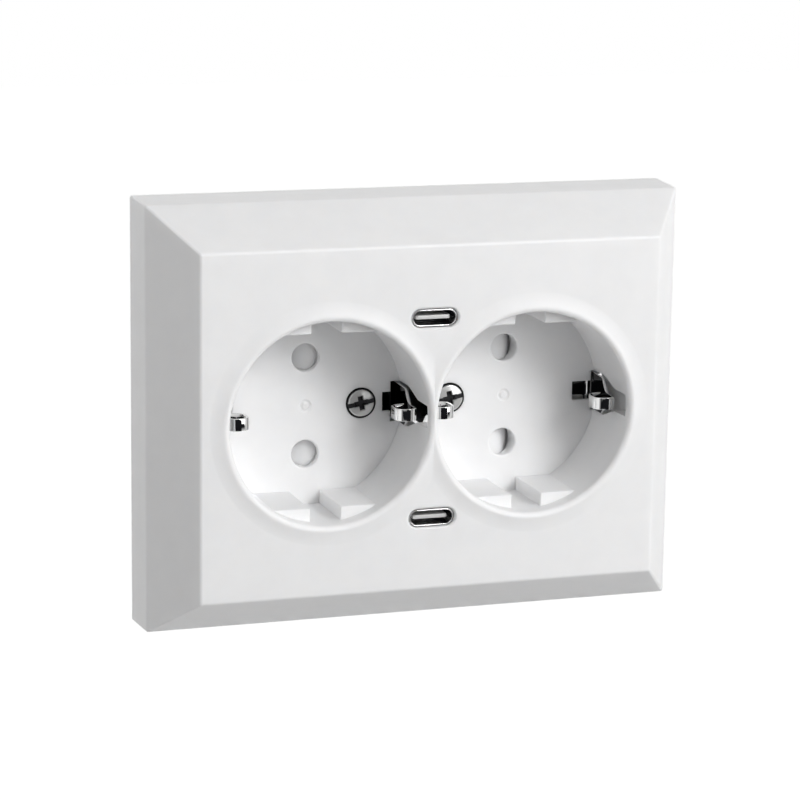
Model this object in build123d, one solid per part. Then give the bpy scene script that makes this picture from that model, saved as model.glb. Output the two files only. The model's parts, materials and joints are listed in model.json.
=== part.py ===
from build123d import *
import os
from math import atan2, cos, degrees, hypot, radians, sqrt, tan

# Compact double earthed wall socket with two USB-C charging ports.
# Millimetres. X to the right, Y into the wall, Z up, origin in the wall plane behind the middle of the cover.

# Plug sizes that the socket is made for
pin_spacing = 19.0
pin_diameter = 4.8
pin_length = 19.0
pin_hole_clearance = 0.3
pin_hole_rim = 0.35

# Wells
well_radius = 19.6
well_web = 1.5
well_depth = 17.1
well_wall = 1.6
collar_rise = 0.55
collar_width = 4.0
collar_sweep_radius = 12.0
lip_round = 1.0
rib_height = 2.85
rib_gap = 6.0
rib_setback = 3.2
gate_ring_radius = 1.3
gate_ring_width = 0.8
gate_ring_depth = 0.25

# Cover
face_margin_side = 5.6
face_margin_top = 13.65
bevel_inset = 7.8
bevel_depth = 11.2
skirt_depth = 10.1
skirt_draft_angle = 2.2
cover_wall = 2.2
edge_round = 0.4
stiffener_thickness = 1.2
stiffener_depth = 9.0

# Cover screws
screw_radius = 1.5
screw_head_radius = 2.75
screw_head_height = 1.5
screw_head_chamfer = 0.5
screw_head_gap = 0.3
screw_counterbore = 0.8
screw_clearance = 0.12
screw_to_slot = 1.6
screw_tip_gap = 0.4
screw_slot_width = 0.9
screw_slot_depth = 0.7
screw_slot_turn = 11.0
screw_cross_width = 1.0
screw_cross_length = 3.2
screw_cross_depth = 1.1
small_slot_width = 0.45

# Earth straps and their clip arms
strap_thickness = 0.6
strap_width = 7.3
strap_bend_radius = 1.2
arm_to_wall = 0.85
outer_arm_to_wall = 0.35
outer_arm_bend_radius = 1.0
arm_lean = 0.4
arm_wide_length = 5.2
arm_taper_length = 3.4
nose_width = 2.35
nose_setback = 3.6
nose_reach = 4.9
nose_drop = 1.1
nose_length = 4.0
nose_bend_radius = 1.6
nose_tail_length = 2.7
nose_tail_drop = 1.0
clip_slot_margin = 0.35
clip_slot_reach = 4.0
outer_slot_reach = 5.05
clip_slot_neck = 3.85
clip_slot_bend_gap = 0.3
outer_slot_gap = 0.45
clip_slot_lip = 1.0
clip_slot_relief = 0.9
clip_slot_wide_length = 5.2
clip_slot_taper_length = 4.9
clip_slot_top_width = 4.4
clip_slot_end_gap = 2.0
clip_pocket_depth = 2.2
clip_pocket_wall = 1.2

# Support plate
plate_width = 84.0
plate_height = 71.0
plate_thickness = 1.2
plate_corner_radius = 6.0
plate_band_margin = 1.6
box_screw_spacing = 60.0
box_slot_width = 4.2
box_slot_length = 6.2
box_tower_room = 5.0

# Shutters
slide_gap = 0.3
shutter_overlap = 0.35
shutter_end_margin = 0.6
shutter_bridge_width = 3.9
shutter_bridge_thickness = 2.4
shutter_pocket_depth = 1.0
shutter_ramp_flat = 0.4
shutter_ramp_rise = 3.2
shutter_edge_width = 0.4
shutter_pass_gap = 0.15
shutter_rail_width = 1.0
spring_wire = 0.35
spring_turns = 5
spring_wire_sides = 6
spring_seat_gap = 0.05

# Insert base and contact carrier
base_wall = 1.6
base_floor = 2.0
base_edge_chamfer = 1.2
carrier_thickness = 2.4
carrier_gap = 0.2
carrier_post_half = 2.6
carrier_boss_radius = 2.3
carrier_boss_wall_gap = 0.5
carrier_screw_radius = 1.1
carrier_screw_head_radius = 2.0
carrier_screw_head_height = 1.5
carrier_screw_slot_depth = 0.75
carrier_screw_bite = 6.0
carrier_ledge_depth = 2.2
carrier_ledge_height = 10.0
barrier_thickness = 1.0
barrier_gap = 0.8
strap_screw_radius = 1.25
strap_screw_head_radius = 2.1
strap_screw_head_height = 0.7
strap_screw_slot_depth = 0.35
strap_screw_head_room = 0.2
strap_screw_bite = 8.0
strap_boss_radius = 2.4

# Busbars and pin contacts
busbar_thickness = 0.8
contact_width = 6.0
contact_leaf = 0.6
contact_play = 0.2
contact_pinch = 0.75
contact_flare_length = 2.0
contact_pinch_length = 2.8
contact_bend_radius = 0.8
contact_carrier_gap = 0.8
pin_tip_room = 2.2

# Terminals
terminal_offset = 9.0
terminal_width = 7.0
terminal_height = 6.6
terminal_depth = 8.0
terminal_wire_radius = 1.5
terminal_wire_depth = 6.5
terminal_wire_margin = 2.2
terminal_screw_radius = 1.75
terminal_screw_head_radius = 2.6
terminal_screw_head_height = 1.6
terminal_screw_slot_depth = 0.8
terminal_screw_from_rear = 4.0
terminal_access_gap = 0.4
terminal_tab_width = 5.0

# USB-C receptacles and their boards
port_to_well = 1.15
port_width = 8.94
port_height = 3.26
port_length = 7.35
port_wall = 0.28
port_recess = 0.35
port_gap = 0.2
port_edge_chamfer = 0.3
port_guide_width = 1.0
port_guide_depth = 6.0
tongue_width = 6.69
tongue_thickness = 0.7
tongue_setback = 0.9
tongue_block_depth = 2.2
tongue_fit = 0.05
port_board_width = 12.0
port_board_thickness = 1.0
port_board_setback = 0.5
port_tail_width = 8.0
port_tail_length = 0.9
board_slot_gap = 0.2

# Charger
charger_board_width = 27.2
charger_board_thickness = 1.2
charger_board_edge_gap = 0.3
core_width = 13.0
core_height = 11.0
core_leg = 3.6
core_yoke = 2.0
core_window = 2.1
winding_margin = 1.0
winding_round = 0.5
winding_fit = 0.05
capacitor_radius = 3.15
capacitor_gap = 0.5
input_capacitor_length = 10.0
output_capacitor_length = 8.0
capacitor_groove_depth = 0.3
capacitor_groove_width = 0.6
capacitor_groove_setback = 0.6
chip_width = 5.0
chip_height = 4.2
chip_thickness = 1.5
chip_chamfer = 0.3
chip_offset = 13.4
supply_pin_radius = 0.6
supply_pin_offset = 10.0
supply_pin_fit = 0.05

# Depths, worked out from the face back into the wall
cover_depth = skirt_depth + bevel_depth
face_y = -cover_depth
collar_top_y = face_y - collar_rise
floor_front_y = face_y + well_depth
plate_front_y = -plate_thickness
strap_front_y = plate_front_y - strap_thickness
floor_back_y = strap_front_y
bridge_front_y = slide_gap
bridge_back_y = bridge_front_y + shutter_bridge_thickness
carrier_front_y = bridge_back_y + slide_gap
carrier_back_y = carrier_front_y + carrier_thickness
board_back_y = carrier_back_y + charger_board_thickness
contact_front_y = carrier_back_y + contact_carrier_gap
busbar_front_y = floor_front_y + pin_length + pin_tip_room
busbar_back_y = busbar_front_y + busbar_thickness
base_back_y = busbar_back_y + base_floor

# Places across the face
well_pitch = 2 * well_radius + well_web
well_x = well_pitch / 2
pin_z = pin_spacing / 2
pin_hole_radius = pin_diameter / 2 + pin_hole_clearance
face_width = well_pitch + 2 * (well_radius + face_margin_side)
face_height = 2 * (well_radius + face_margin_top)
rim_width = face_width + 2 * bevel_inset
rim_height = face_height + 2 * bevel_inset
skirt_inset = skirt_depth * tan(radians(skirt_draft_angle))
bevel_angle = degrees(atan2(bevel_inset, bevel_depth))
rib_flat_z = well_radius - rib_height
well_outside_z = sqrt((well_radius + well_wall) ** 2 - (well_x - port_board_width / 2) ** 2)
board_z = well_outside_z + port_to_well + port_board_thickness / 2
port_z = board_z + port_board_thickness / 2 + port_height / 2
slot_wide = strap_width + 2 * clip_slot_margin
slot_inner_u = well_radius - clip_slot_reach
outer_slot_inner_u = well_radius - outer_slot_reach
arm_u = well_radius - arm_to_wall
outer_arm_u = well_radius - outer_arm_to_wall
slot_wide_u = arm_u - strap_bend_radius - clip_slot_bend_gap
outer_slot_wide_u = outer_arm_u - strap_thickness / 2 - outer_slot_gap
cover_screw_x = well_x - (slot_inner_u - screw_to_slot - screw_head_radius)
screw_seat_y = floor_front_y + screw_counterbore

# Shutter places, on the right-hand well
flag_outer_x = well_x + pin_hole_radius + shutter_overlap
flag_inner_x = well_x - pin_hole_radius - shutter_overlap
flag_low_z = pin_z - pin_hole_radius - shutter_end_margin
flag_high_z = pin_z + pin_hole_radius + shutter_end_margin
bridge_inner_x = flag_outer_x - shutter_bridge_width
shutter_pocket_y = floor_back_y - shutter_pocket_depth
flag_front_y = shutter_pocket_y + slide_gap
shutter_travel = pin_hole_radius + shutter_overlap + pin_diameter / 2 + shutter_pass_gap
post_outer_x = cover_screw_x + carrier_post_half

# Heights inside the insert, worked out from its flats above and below
base_flat = box_screw_spacing / 2 - box_tower_room
base_inner_flat = base_flat - base_wall
terminal_seat_z = base_inner_flat - carrier_gap
terminal_top_z = terminal_seat_z - plate_thickness
terminal_low_z = terminal_top_z - terminal_height
terminal_wire_z = terminal_low_z + terminal_wire_margin
terminal_screw_y = busbar_front_y - terminal_screw_from_rear
terminal_outer_x = terminal_offset + terminal_width / 2
boss_z = terminal_low_z + carrier_boss_radius
charger_board_height = 2 * (terminal_top_z - charger_board_edge_gap)

# Insert radius, the least that takes the shutters, the strap screws, the terminals and the carrier's bosses
boss_room = carrier_boss_radius + carrier_boss_wall_gap
boss_least_x = max(charger_board_width / 2, terminal_outer_x) + slide_gap + carrier_boss_radius
strap_boss_reach = 2 * strap_boss_radius - base_wall
shutter_corner = max(hypot(flag_outer_x, flag_high_z), flag_outer_x + strap_boss_reach)
terminal_corner = hypot(terminal_outer_x, terminal_seat_z)
boss_corner = hypot(boss_least_x, boss_z) + boss_room
base_inner_radius = max(shutter_corner + slide_gap, terminal_corner + slide_gap, boss_corner)
base_radius = base_inner_radius + base_wall
boss_x = sqrt((base_inner_radius - boss_room) ** 2 - boss_z ** 2)
strap_screw_x = base_radius - strap_boss_radius


def box(x_low, x_high, y_low, y_high, z_low, z_high):
    """A block between the given limits."""
    middle = ((x_low + x_high) / 2, (y_low + y_high) / 2, (z_low + z_high) / 2)
    return Pos(*middle) * Box(x_high - x_low, y_high - y_low, z_high - z_low)


def prism(sketch, y_front, y_back):
    """A sketch drawn in X and Z, run from one depth to another."""
    return extrude(Plane.XZ.offset(-y_back) * sketch, amount=y_back - y_front)


def rod(x, z, radius, y_front, y_back):
    """A round bar along Y."""
    return prism(Pos(x, z) * Circle(radius), y_front, y_back)


def rod_z(x, y, radius, z_low, z_high):
    """A round bar along Z."""
    return Pos(x, y, (z_low + z_high) / 2) * Cylinder(radius, z_high - z_low)


def side_prism(outline, x_low, x_high):
    """A closed outline of (y, z) points, run from one X to another."""
    face = make_face(Polyline(*[(x_low, y, z) for y, z in outline], close=True))
    return extrude(face, amount=x_high - x_low, dir=(1, 0, 0))


def turned(x, outline):
    """A closed outline of (radius, y) edges, turned about the Y axis of a well."""
    return Pos(x, 0, 0) * revolve(make_face(outline), Axis.Y)


def mirrored(shape):
    """The same piece on the other side of the middle."""
    return mirror(shape, Plane.YZ)


def one(shape):
    """The single solid of a shape."""
    return shape.solid()


# Front cover
def frame_block(inset):
    """The drafted skirt with its mitred bevel as a full block, set in by a wall all round."""
    width = rim_width + 2 * skirt_inset - 2 * inset
    height = rim_height + 2 * skirt_inset - 2 * inset
    straight = skirt_depth - inset * tan(radians(bevel_angle / 2))
    skirt = extrude(Plane.XZ * Rectangle(width, height), amount=straight, taper=skirt_draft_angle)
    shrink = 2 * straight * tan(radians(skirt_draft_angle))
    bevel_start = Plane.XZ.offset(straight) * Rectangle(width - shrink, height - shrink)
    return skirt + extrude(bevel_start, amount=cover_depth - inset - straight, taper=bevel_angle)


def cover_shell():
    """The bevelled frame and face, hollow behind, with its outer edges eased."""
    outer = frame_block(0)
    front_edges = outer.edges().filter_by(lambda edge: edge.center().Y < -edge_round)
    return fillet(front_edges, edge_round) - frame_block(cover_wall)


def collar(x):
    """The raised ring round a well, falling gently to the face."""
    outer_radius = well_radius + collar_width
    crest_radius = well_radius + lip_round
    foot = (outer_radius, face_y)
    crest = (crest_radius, collar_top_y)
    root_y = face_y + cover_wall / 2
    outline = Polyline(foot, (outer_radius, root_y), (well_radius, root_y), (well_radius, collar_top_y),
                       crest)
    return turned(x, outline + RadiusArc(crest, foot, collar_sweep_radius))


def well_bore(x):
    """The space of a well, with a rounded lip at its mouth."""
    lip_start = (well_radius, collar_top_y + lip_round)
    lip_end = (well_radius + lip_round, collar_top_y)
    past_y = collar_top_y - lip_round
    outline = Polyline(lip_start, (well_radius, floor_front_y), (0, floor_front_y), (0, past_y))
    outline += Polyline((0, past_y), (well_radius + lip_round, past_y), lip_end)
    lip_sag = lip_round * (1 - cos(radians(45)))
    lip_middle = (well_radius + lip_sag, collar_top_y + lip_sag)
    return turned(x, outline + ThreePointArc(lip_end, lip_middle, lip_start))


def guide_ribs(x):
    """The four blocks that guide a plug, two above and two below, either side of a groove."""
    blocks = Circle(well_radius + well_wall / 2) - Rectangle(2 * well_radius + 2 * well_wall, 2 * rib_flat_z)
    blocks -= Rectangle(rib_gap, 2 * well_radius + 2 * well_wall)
    return prism(Pos(x, 0) * blocks, face_y + rib_setback, floor_front_y)


def clip_floor_slot(inner_u, wide_u):
    """A clip's slot in a well floor, narrow and then wide, with the floor thinned behind its edges."""
    neck = clip_slot_neck / 2
    wide = slot_wide / 2
    relief = wide + clip_slot_relief
    lip_back_y = floor_front_y + clip_slot_lip
    cuts = box(inner_u, well_radius, floor_front_y, floor_back_y, -neck, neck)
    cuts += box(wide_u, well_radius, floor_front_y, floor_back_y, -wide, wide)
    return cuts + box(inner_u - clip_slot_relief, well_radius, lip_back_y, floor_back_y, -relief, relief)


def floor_cuts(x, side):
    """Holes, clip slots, shutter pockets and the gate ring. side points to the middle of the cover."""
    cuts = Part()
    pocket_near = x + side * (well_x - flag_inner_x + shutter_travel + slide_gap)
    pocket_far = x - side * (flag_outer_x - well_x + slide_gap)
    pocket_low, pocket_high = sorted((pocket_near, pocket_far))
    for z in (-pin_z, pin_z):
        half = (flag_high_z - flag_low_z) / 2 + slide_gap
        cuts += box(pocket_low, pocket_high, shutter_pocket_y, floor_back_y, z - half, z + half)
        cuts += rod(x, z, pin_hole_radius, floor_front_y, floor_back_y)
        rim = Plane.XZ.offset(-floor_front_y) * Pos(x, z) * Circle(pin_hole_radius + pin_hole_rim)
        cuts += extrude(rim, amount=-pin_hole_rim, taper=45)
    inner_slot = clip_floor_slot(slot_inner_u, slot_wide_u)
    outer_slot = clip_floor_slot(outer_slot_inner_u, outer_slot_wide_u)
    cuts += Pos(x, 0, 0) * (inner_slot if side > 0 else mirrored(inner_slot))
    cuts += Pos(x, 0, 0) * (mirrored(outer_slot) if side > 0 else outer_slot)
    screw_x = x + side * (well_x - cover_screw_x)
    cuts += rod(screw_x, 0, screw_radius + screw_clearance, floor_front_y, floor_back_y)
    cuts += rod(screw_x, 0, screw_head_radius + screw_head_gap, floor_front_y, screw_seat_y)
    head_x = x - side * (strap_screw_x - well_x)
    head_room_y = floor_back_y - strap_screw_head_height - strap_screw_head_room
    cuts += rod(head_x, 0, strap_screw_head_radius + strap_screw_head_room, head_room_y, floor_back_y)
    gate = Circle(gate_ring_radius) - Circle(gate_ring_radius - gate_ring_width)
    return cuts + prism(Pos(x, 0) * gate, floor_front_y, floor_front_y + gate_ring_depth)


def pin_guards():
    """The half walls that go on behind the right-hand pin holes, outside the shutter's path."""
    end_y = bridge_front_y - slide_gap
    radius = pin_hole_radius + shutter_end_margin
    guards = Part()
    for z in (-pin_z, pin_z):
        guard = rod(well_x, z, radius, shutter_pocket_y, end_y)
        guard -= rod(well_x, z, pin_hole_radius, shutter_pocket_y, end_y)
        guards += guard & box(well_x, well_x + radius, shutter_pocket_y, end_y, z - radius, z + radius)
    return guards - Pos(slide_gap, -slide_gap, 0) * shutter_flags()


def clip_wall_slot(x_low, x_high):
    """The bottle-shaped slot in a well's side wall that a clip arm springs back into."""
    wide_end = floor_front_y - clip_slot_wide_length
    taper_end = wide_end - clip_slot_taper_length
    top_end = collar_top_y + clip_slot_end_gap
    half = [(floor_back_y, slot_wide / 2), (wide_end, slot_wide / 2), (taper_end, clip_slot_top_width / 2),
            (top_end, clip_slot_top_width / 2)]
    outline = half + [(y, -z) for y, z in reversed(half)]
    return side_prism(outline, x_low, x_high)


def clip_pocket(x_low, x_high):
    """The closed block behind a well's outer clip slot."""
    half = slot_wide / 2 + clip_pocket_wall
    return box(x_low, x_high, face_y + cover_wall / 2, floor_back_y, -half, half)


def cover_stiffeners():
    """Ribs behind the face, from the wells to the skirt, and the guides beside each port."""
    ceiling_y = face_y + cover_wall / 2
    rib_end_y = ceiling_y + stiffener_depth
    half = stiffener_thickness / 2
    well_top = well_radius + well_wall / 2
    top = rim_height / 2 - cover_wall / 2
    side = rim_width / 2 - cover_wall / 2
    ribs = []
    for x in (-well_x, well_x):
        ribs.append(box(x - half, x + half, ceiling_y, rib_end_y, well_top, top))
        ribs.append(box(x - half, x + half, ceiling_y, rib_end_y, -top, -well_top))
    pocket_back = well_x + well_radius + clip_pocket_depth + clip_pocket_wall / 2
    for low, high in ((pocket_back, side), (-side, -pocket_back)):
        ribs.append(box(low, high, ceiling_y, rib_end_y, -half, half))
    guide_x = port_board_width / 2 + slide_gap
    guide_low = board_z - port_board_thickness
    guide_high = port_z + port_height / 2
    for sign in (-1, 1):
        for up in (-1, 1):
            x_low, x_high = sorted((sign * guide_x, sign * (guide_x + port_guide_width)))
            z_low, z_high = sorted((up * guide_low, up * guide_high))
            ribs.append(box(x_low, x_high, ceiling_y, ceiling_y + port_guide_depth, z_low, z_high))
    return ribs


def port_openings():
    """The two openings in the face that the USB-C shells stand in, with a small lead-in."""
    back_y = face_y + cover_wall
    cuts = []
    for z in (-port_z, port_z):
        opening = Pos(0, z) * SlotOverall(port_width + 2 * port_gap, port_height + 2 * port_gap)
        widened = offset(opening, port_edge_chamfer)
        cuts.append(prism(opening, face_y - port_edge_chamfer, back_y))
        front = Plane.XZ.offset(-face_y) * widened
        cuts.append(extrude(front, amount=-port_edge_chamfer, taper=45))
    return cuts


def front_cover():
    outer = cover_shell()
    inside = frame_block(cover_wall / 2)
    for rib in cover_stiffeners():
        outer += rib & inside
    pocket_low = well_radius + well_wall / 2
    pocket_high = well_radius + clip_pocket_depth + clip_pocket_wall
    for x in (-well_x, well_x):
        outer += rod(x, 0, well_radius + well_wall, face_y + cover_wall / 2, floor_back_y)
        outer += collar(x)
    outer += clip_pocket(well_x + pocket_low, well_x + pocket_high) & inside
    outer += clip_pocket(-well_x - pocket_high, -well_x - pocket_low) & inside
    for x in (-well_x, well_x):
        outer -= well_bore(x)
    for x in (-well_x, well_x):
        outer += guide_ribs(x)
    for x, side in ((-well_x, 1), (well_x, -1)):
        outer -= floor_cuts(x, side)
    outer += pin_guards()
    outer += mirrored(pin_guards())
    slot_inside = sqrt(well_radius ** 2 - (slot_wide / 2) ** 2) - clip_slot_margin
    slot_back = well_radius + clip_pocket_depth
    outer -= clip_wall_slot(slot_inside - well_x, well_x - slot_inside)
    outer -= clip_wall_slot(well_x + slot_inside, well_x + slot_back)
    outer -= clip_wall_slot(-well_x - slot_back, -well_x - slot_inside)
    for cut in port_openings():
        outer -= cut
    return one(outer)


# Fasteners
def cover_screw(x):
    """A pan head screw with a slot and a cross in its head."""
    head_front = screw_seat_y - screw_head_height
    head = rod(x, 0, screw_head_radius, head_front, screw_seat_y)
    head = chamfer(head.edges().group_by(Axis.Y)[0], screw_head_chamfer)
    slot = Rectangle(2 * screw_head_radius, screw_slot_width)
    cross = Rectangle(screw_cross_length, screw_cross_width)
    cross += Rectangle(screw_cross_width, screw_cross_length)
    place = Pos(x, 0) * Rot(0, 0, screw_slot_turn)
    head -= prism(place * slot, head_front, head_front + screw_slot_depth)
    head -= prism(place * cross, head_front, head_front + screw_cross_depth)
    return one(head + rod(x, 0, screw_radius, screw_seat_y, carrier_back_y - screw_tip_gap))


def strap_screw(x):
    """A flat-headed screw that holds strap and plate to the base."""
    head_front = strap_front_y - strap_screw_head_height
    head = rod(x, 0, strap_screw_head_radius, head_front, strap_front_y)
    slot = Pos(x, 0) * Rectangle(2 * strap_screw_head_radius, small_slot_width)
    head -= prism(slot, head_front, head_front + strap_screw_slot_depth)
    return one(head + rod(x, 0, strap_screw_radius, strap_front_y, strap_screw_bite))


def carrier_screw(x, z):
    """A small screw that holds the contact carrier down on a base boss."""
    head_front = carrier_front_y - carrier_screw_head_height
    head = rod(x, z, carrier_screw_head_radius, head_front, carrier_front_y)
    slot = Pos(x, z) * Rectangle(2 * carrier_screw_head_radius, small_slot_width)
    head -= prism(slot, head_front, head_front + carrier_screw_slot_depth)
    tip_y = carrier_back_y + carrier_screw_bite
    return one(head + rod(x, z, carrier_screw_radius, carrier_front_y, tip_y))


def terminal_screw(x, up):
    """A clamp screw that presses a wire into its terminal from above or below."""
    head_top = terminal_seat_z + terminal_screw_head_height
    tip = terminal_wire_z + terminal_wire_radius
    screw = rod_z(x, terminal_screw_y, terminal_screw_head_radius, terminal_seat_z, head_top)
    screw += rod_z(x, terminal_screw_y, terminal_screw_radius, tip, terminal_seat_z)
    half_slot = screw_slot_width / 2
    screw -= box(x - terminal_screw_head_radius, x + terminal_screw_head_radius, terminal_screw_y - half_slot,
                 terminal_screw_y + half_slot, head_top - terminal_screw_slot_depth, head_top)
    return one(screw if up else mirror(screw, Plane.XY))


# Earth straps
def clip_path(foot_u, bend_radius):
    """The middle line of one arm: along behind the floor, up the wall and round the nose."""
    nose_front = floor_front_y - well_depth + nose_setback
    strap_y = strap_front_y + strap_thickness / 2
    tip_u = well_radius - nose_reach
    points = [(0, strap_y), (foot_u, strap_y), (arm_u - arm_lean, nose_front),
              (tip_u, nose_front + nose_drop), (tip_u, nose_front + nose_drop + nose_length),
              (tip_u + nose_tail_length, nose_front + nose_drop + nose_length + nose_tail_drop)]
    radii = [bend_radius, nose_bend_radius, nose_bend_radius, nose_bend_radius]
    return FilletPolyline(*points, radius=radii)


def clip_arm(foot_u, bend_radius):
    """Half a strap with its arm, wide behind the wall and narrow at the nose."""
    band = make_face(clip_path(foot_u, bend_radius).offset_2d(strap_thickness / 2))
    narrow = extrude(band, amount=nose_width / 2, both=True)
    wide = extrude(band, amount=strap_width / 2, both=True)
    arm_y = floor_front_y - arm_wide_length
    taper_y = arm_y - arm_taper_length
    half = [(0, strap_width / 2), (arm_y, strap_width / 2), (taper_y, nose_width / 2)]
    outline = half + [(y, -z) for y, z in reversed(half)]
    beside_nose = arm_u - arm_lean - strap_thickness
    keep = side_prism(outline, beside_nose, well_radius)
    keep += box(0, well_radius, strap_front_y - strap_bend_radius, 0, -strap_width / 2, strap_width / 2)
    return narrow + (wide & keep)


def earth_strap():
    """The right-hand strip, with a clip arm at each side of its well."""
    outer = clip_arm(outer_arm_u, outer_arm_bend_radius)
    strap = Pos(well_x, 0, 0) * (outer + mirrored(clip_arm(arm_u, strap_bend_radius)))
    strap -= rod(cover_screw_x, 0, screw_radius + screw_clearance, strap_front_y, plate_front_y)
    strap -= rod(strap_screw_x, 0, strap_screw_radius, strap_front_y, plate_front_y)
    return one(strap)


# Support plate
def insert_outline(radius, flat):
    """The round outline with flats above and below that the insert's pieces share."""
    return Circle(radius) & Rectangle(2 * radius, 2 * flat)


def support_plate():
    """The steel plate on the wall, with its box screw slots, shutter windows and bent earth tail."""
    sheet = RectangleRounded(plate_width, plate_height, plate_corner_radius)
    band = Rectangle(plate_width, strap_width + 2 * plate_band_margin)
    sheet -= insert_outline(base_inner_radius, terminal_seat_z) - band
    for z in (-box_screw_spacing / 2, box_screw_spacing / 2):
        sheet -= Pos(0, z) * Rot(0, 0, 90) * SlotOverall(box_slot_length, box_slot_width)
    for x in (-1, 1):
        sheet -= Pos(x * cover_screw_x, 0) * Circle(screw_radius + screw_clearance)
        sheet -= Pos(x * strap_screw_x, 0) * Circle(strap_screw_radius)
    plate = prism(sheet, plate_front_y, 0)
    half = terminal_tab_width / 2
    tail_end = terminal_screw_y + terminal_screw_radius + half
    tail = box(terminal_offset - half, terminal_offset + half, plate_front_y, tail_end,
               terminal_top_z, terminal_seat_z)
    tail -= rod_z(terminal_offset, terminal_screw_y, terminal_screw_radius, terminal_top_z, terminal_seat_z)
    return one(plate + tail)


# Shutters
def shutter_flags():
    """The two flags of the right-hand shutter, each with a rounded ramp."""
    ramp_top = (flag_inner_x + shutter_ramp_flat, flag_front_y)
    ramp_end = (flag_outer_x - shutter_edge_width, flag_front_y + shutter_ramp_rise)
    outline = Polyline(ramp_end, (flag_outer_x, ramp_end[1]), (flag_outer_x, bridge_back_y),
                       (flag_inner_x, bridge_back_y), (flag_inner_x, flag_front_y), ramp_top)
    outline += TangentArc(ramp_top, ramp_end, tangent=(1, 0))
    flag = extrude(make_face(outline), amount=flag_high_z - flag_low_z)
    upper = Pos(0, 0, flag_low_z) * flag
    return upper + mirror(upper, Plane.XY)


def shutter():
    """The right-hand shutter: two ramped flags joined by a bridge behind the strap."""
    bridge = box(bridge_inner_x, flag_outer_x, bridge_front_y, bridge_back_y, -flag_low_z, flag_low_z)
    return one(shutter_flags() + bridge)


def shutter_spring():
    """The right-hand coil spring between the carrier's post and the shutter's bridge."""
    mean_radius = (shutter_bridge_thickness - 2 * spring_wire) / 2
    start_x = post_outer_x + spring_seat_gap + spring_wire / 2
    length = bridge_inner_x - spring_seat_gap - spring_wire / 2 - start_x
    middle_y = (bridge_front_y + bridge_back_y) / 2
    pitch = length / spring_turns
    path = Helix(pitch, length, mean_radius, center=(start_x, middle_y, 0), direction=(1, 0, 0))
    section = Plane(path @ 0, z_dir=path % 0) * RegularPolygon(spring_wire / 2, spring_wire_sides)
    return one(sweep(section, path=path, is_frenet=True))


# Insert base and contact carrier
def insert_base():
    """The moulded housing that goes into the wall box, open to the front."""
    shell = prism(insert_outline(base_radius, base_flat), 0, base_back_y)
    shell = chamfer(shell.edges().group_by(Axis.Y)[-1], base_edge_chamfer)
    shell -= prism(insert_outline(base_inner_radius, base_inner_flat), 0, busbar_back_y)
    inside = insert_outline(base_inner_radius + base_wall / 2, base_inner_flat + base_wall / 2)
    ledge_x = base_inner_radius - carrier_ledge_depth
    ledges = Rectangle(2 * base_radius, carrier_ledge_height)
    seats = inside & (ledges - Rectangle(2 * ledge_x, carrier_ledge_height))
    for x in (-boss_x, boss_x):
        for z in (-boss_z, boss_z):
            seats += Pos(x, z) * Circle(carrier_boss_radius)
    barrier_x = well_x - contact_width / 2 - barrier_gap - barrier_thickness
    barrier_height = 2 * (pin_z + contact_width / 2 + barrier_gap)
    for x in (-barrier_x - barrier_thickness / 2, barrier_x + barrier_thickness / 2):
        seats += Pos(x, 0) * Rectangle(barrier_thickness, barrier_height)
    shell += prism(seats, carrier_back_y, busbar_back_y)
    for x in (-strap_screw_x, strap_screw_x):
        shell += rod(x, 0, strap_boss_radius, 0, carrier_back_y)
        shell -= rod(x, 0, strap_screw_radius, 0, strap_screw_bite)
    notch = busbar_thickness + contact_play
    half_notch = contact_width / 2 + contact_play
    for z in (-pin_z, pin_z):
        shell -= box(-ledge_x, ledge_x, busbar_back_y - notch, busbar_back_y, z - half_notch, z + half_notch)
    for x, z in ((boss_x, boss_z), (-boss_x, -boss_z)):
        shell -= rod(x, z, carrier_screw_radius, carrier_back_y, carrier_back_y + carrier_screw_bite)
    entry_radius = terminal_wire_radius + terminal_access_gap
    access_radius = terminal_screw_head_radius + terminal_access_gap
    for x, up in terminal_places():
        shell -= rod(x, up * terminal_wire_z, entry_radius, busbar_back_y, base_back_y)
        access = rod_z(x, terminal_screw_y, access_radius, base_inner_flat, base_flat)
        shell -= access if up > 0 else mirror(access, Plane.XY)
    return one(shell)


def board_slot_outline(width):
    """The slot that lets a port board of the given width through."""
    return Rectangle(width + 2 * board_slot_gap, port_board_thickness + 2 * board_slot_gap)


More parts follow.
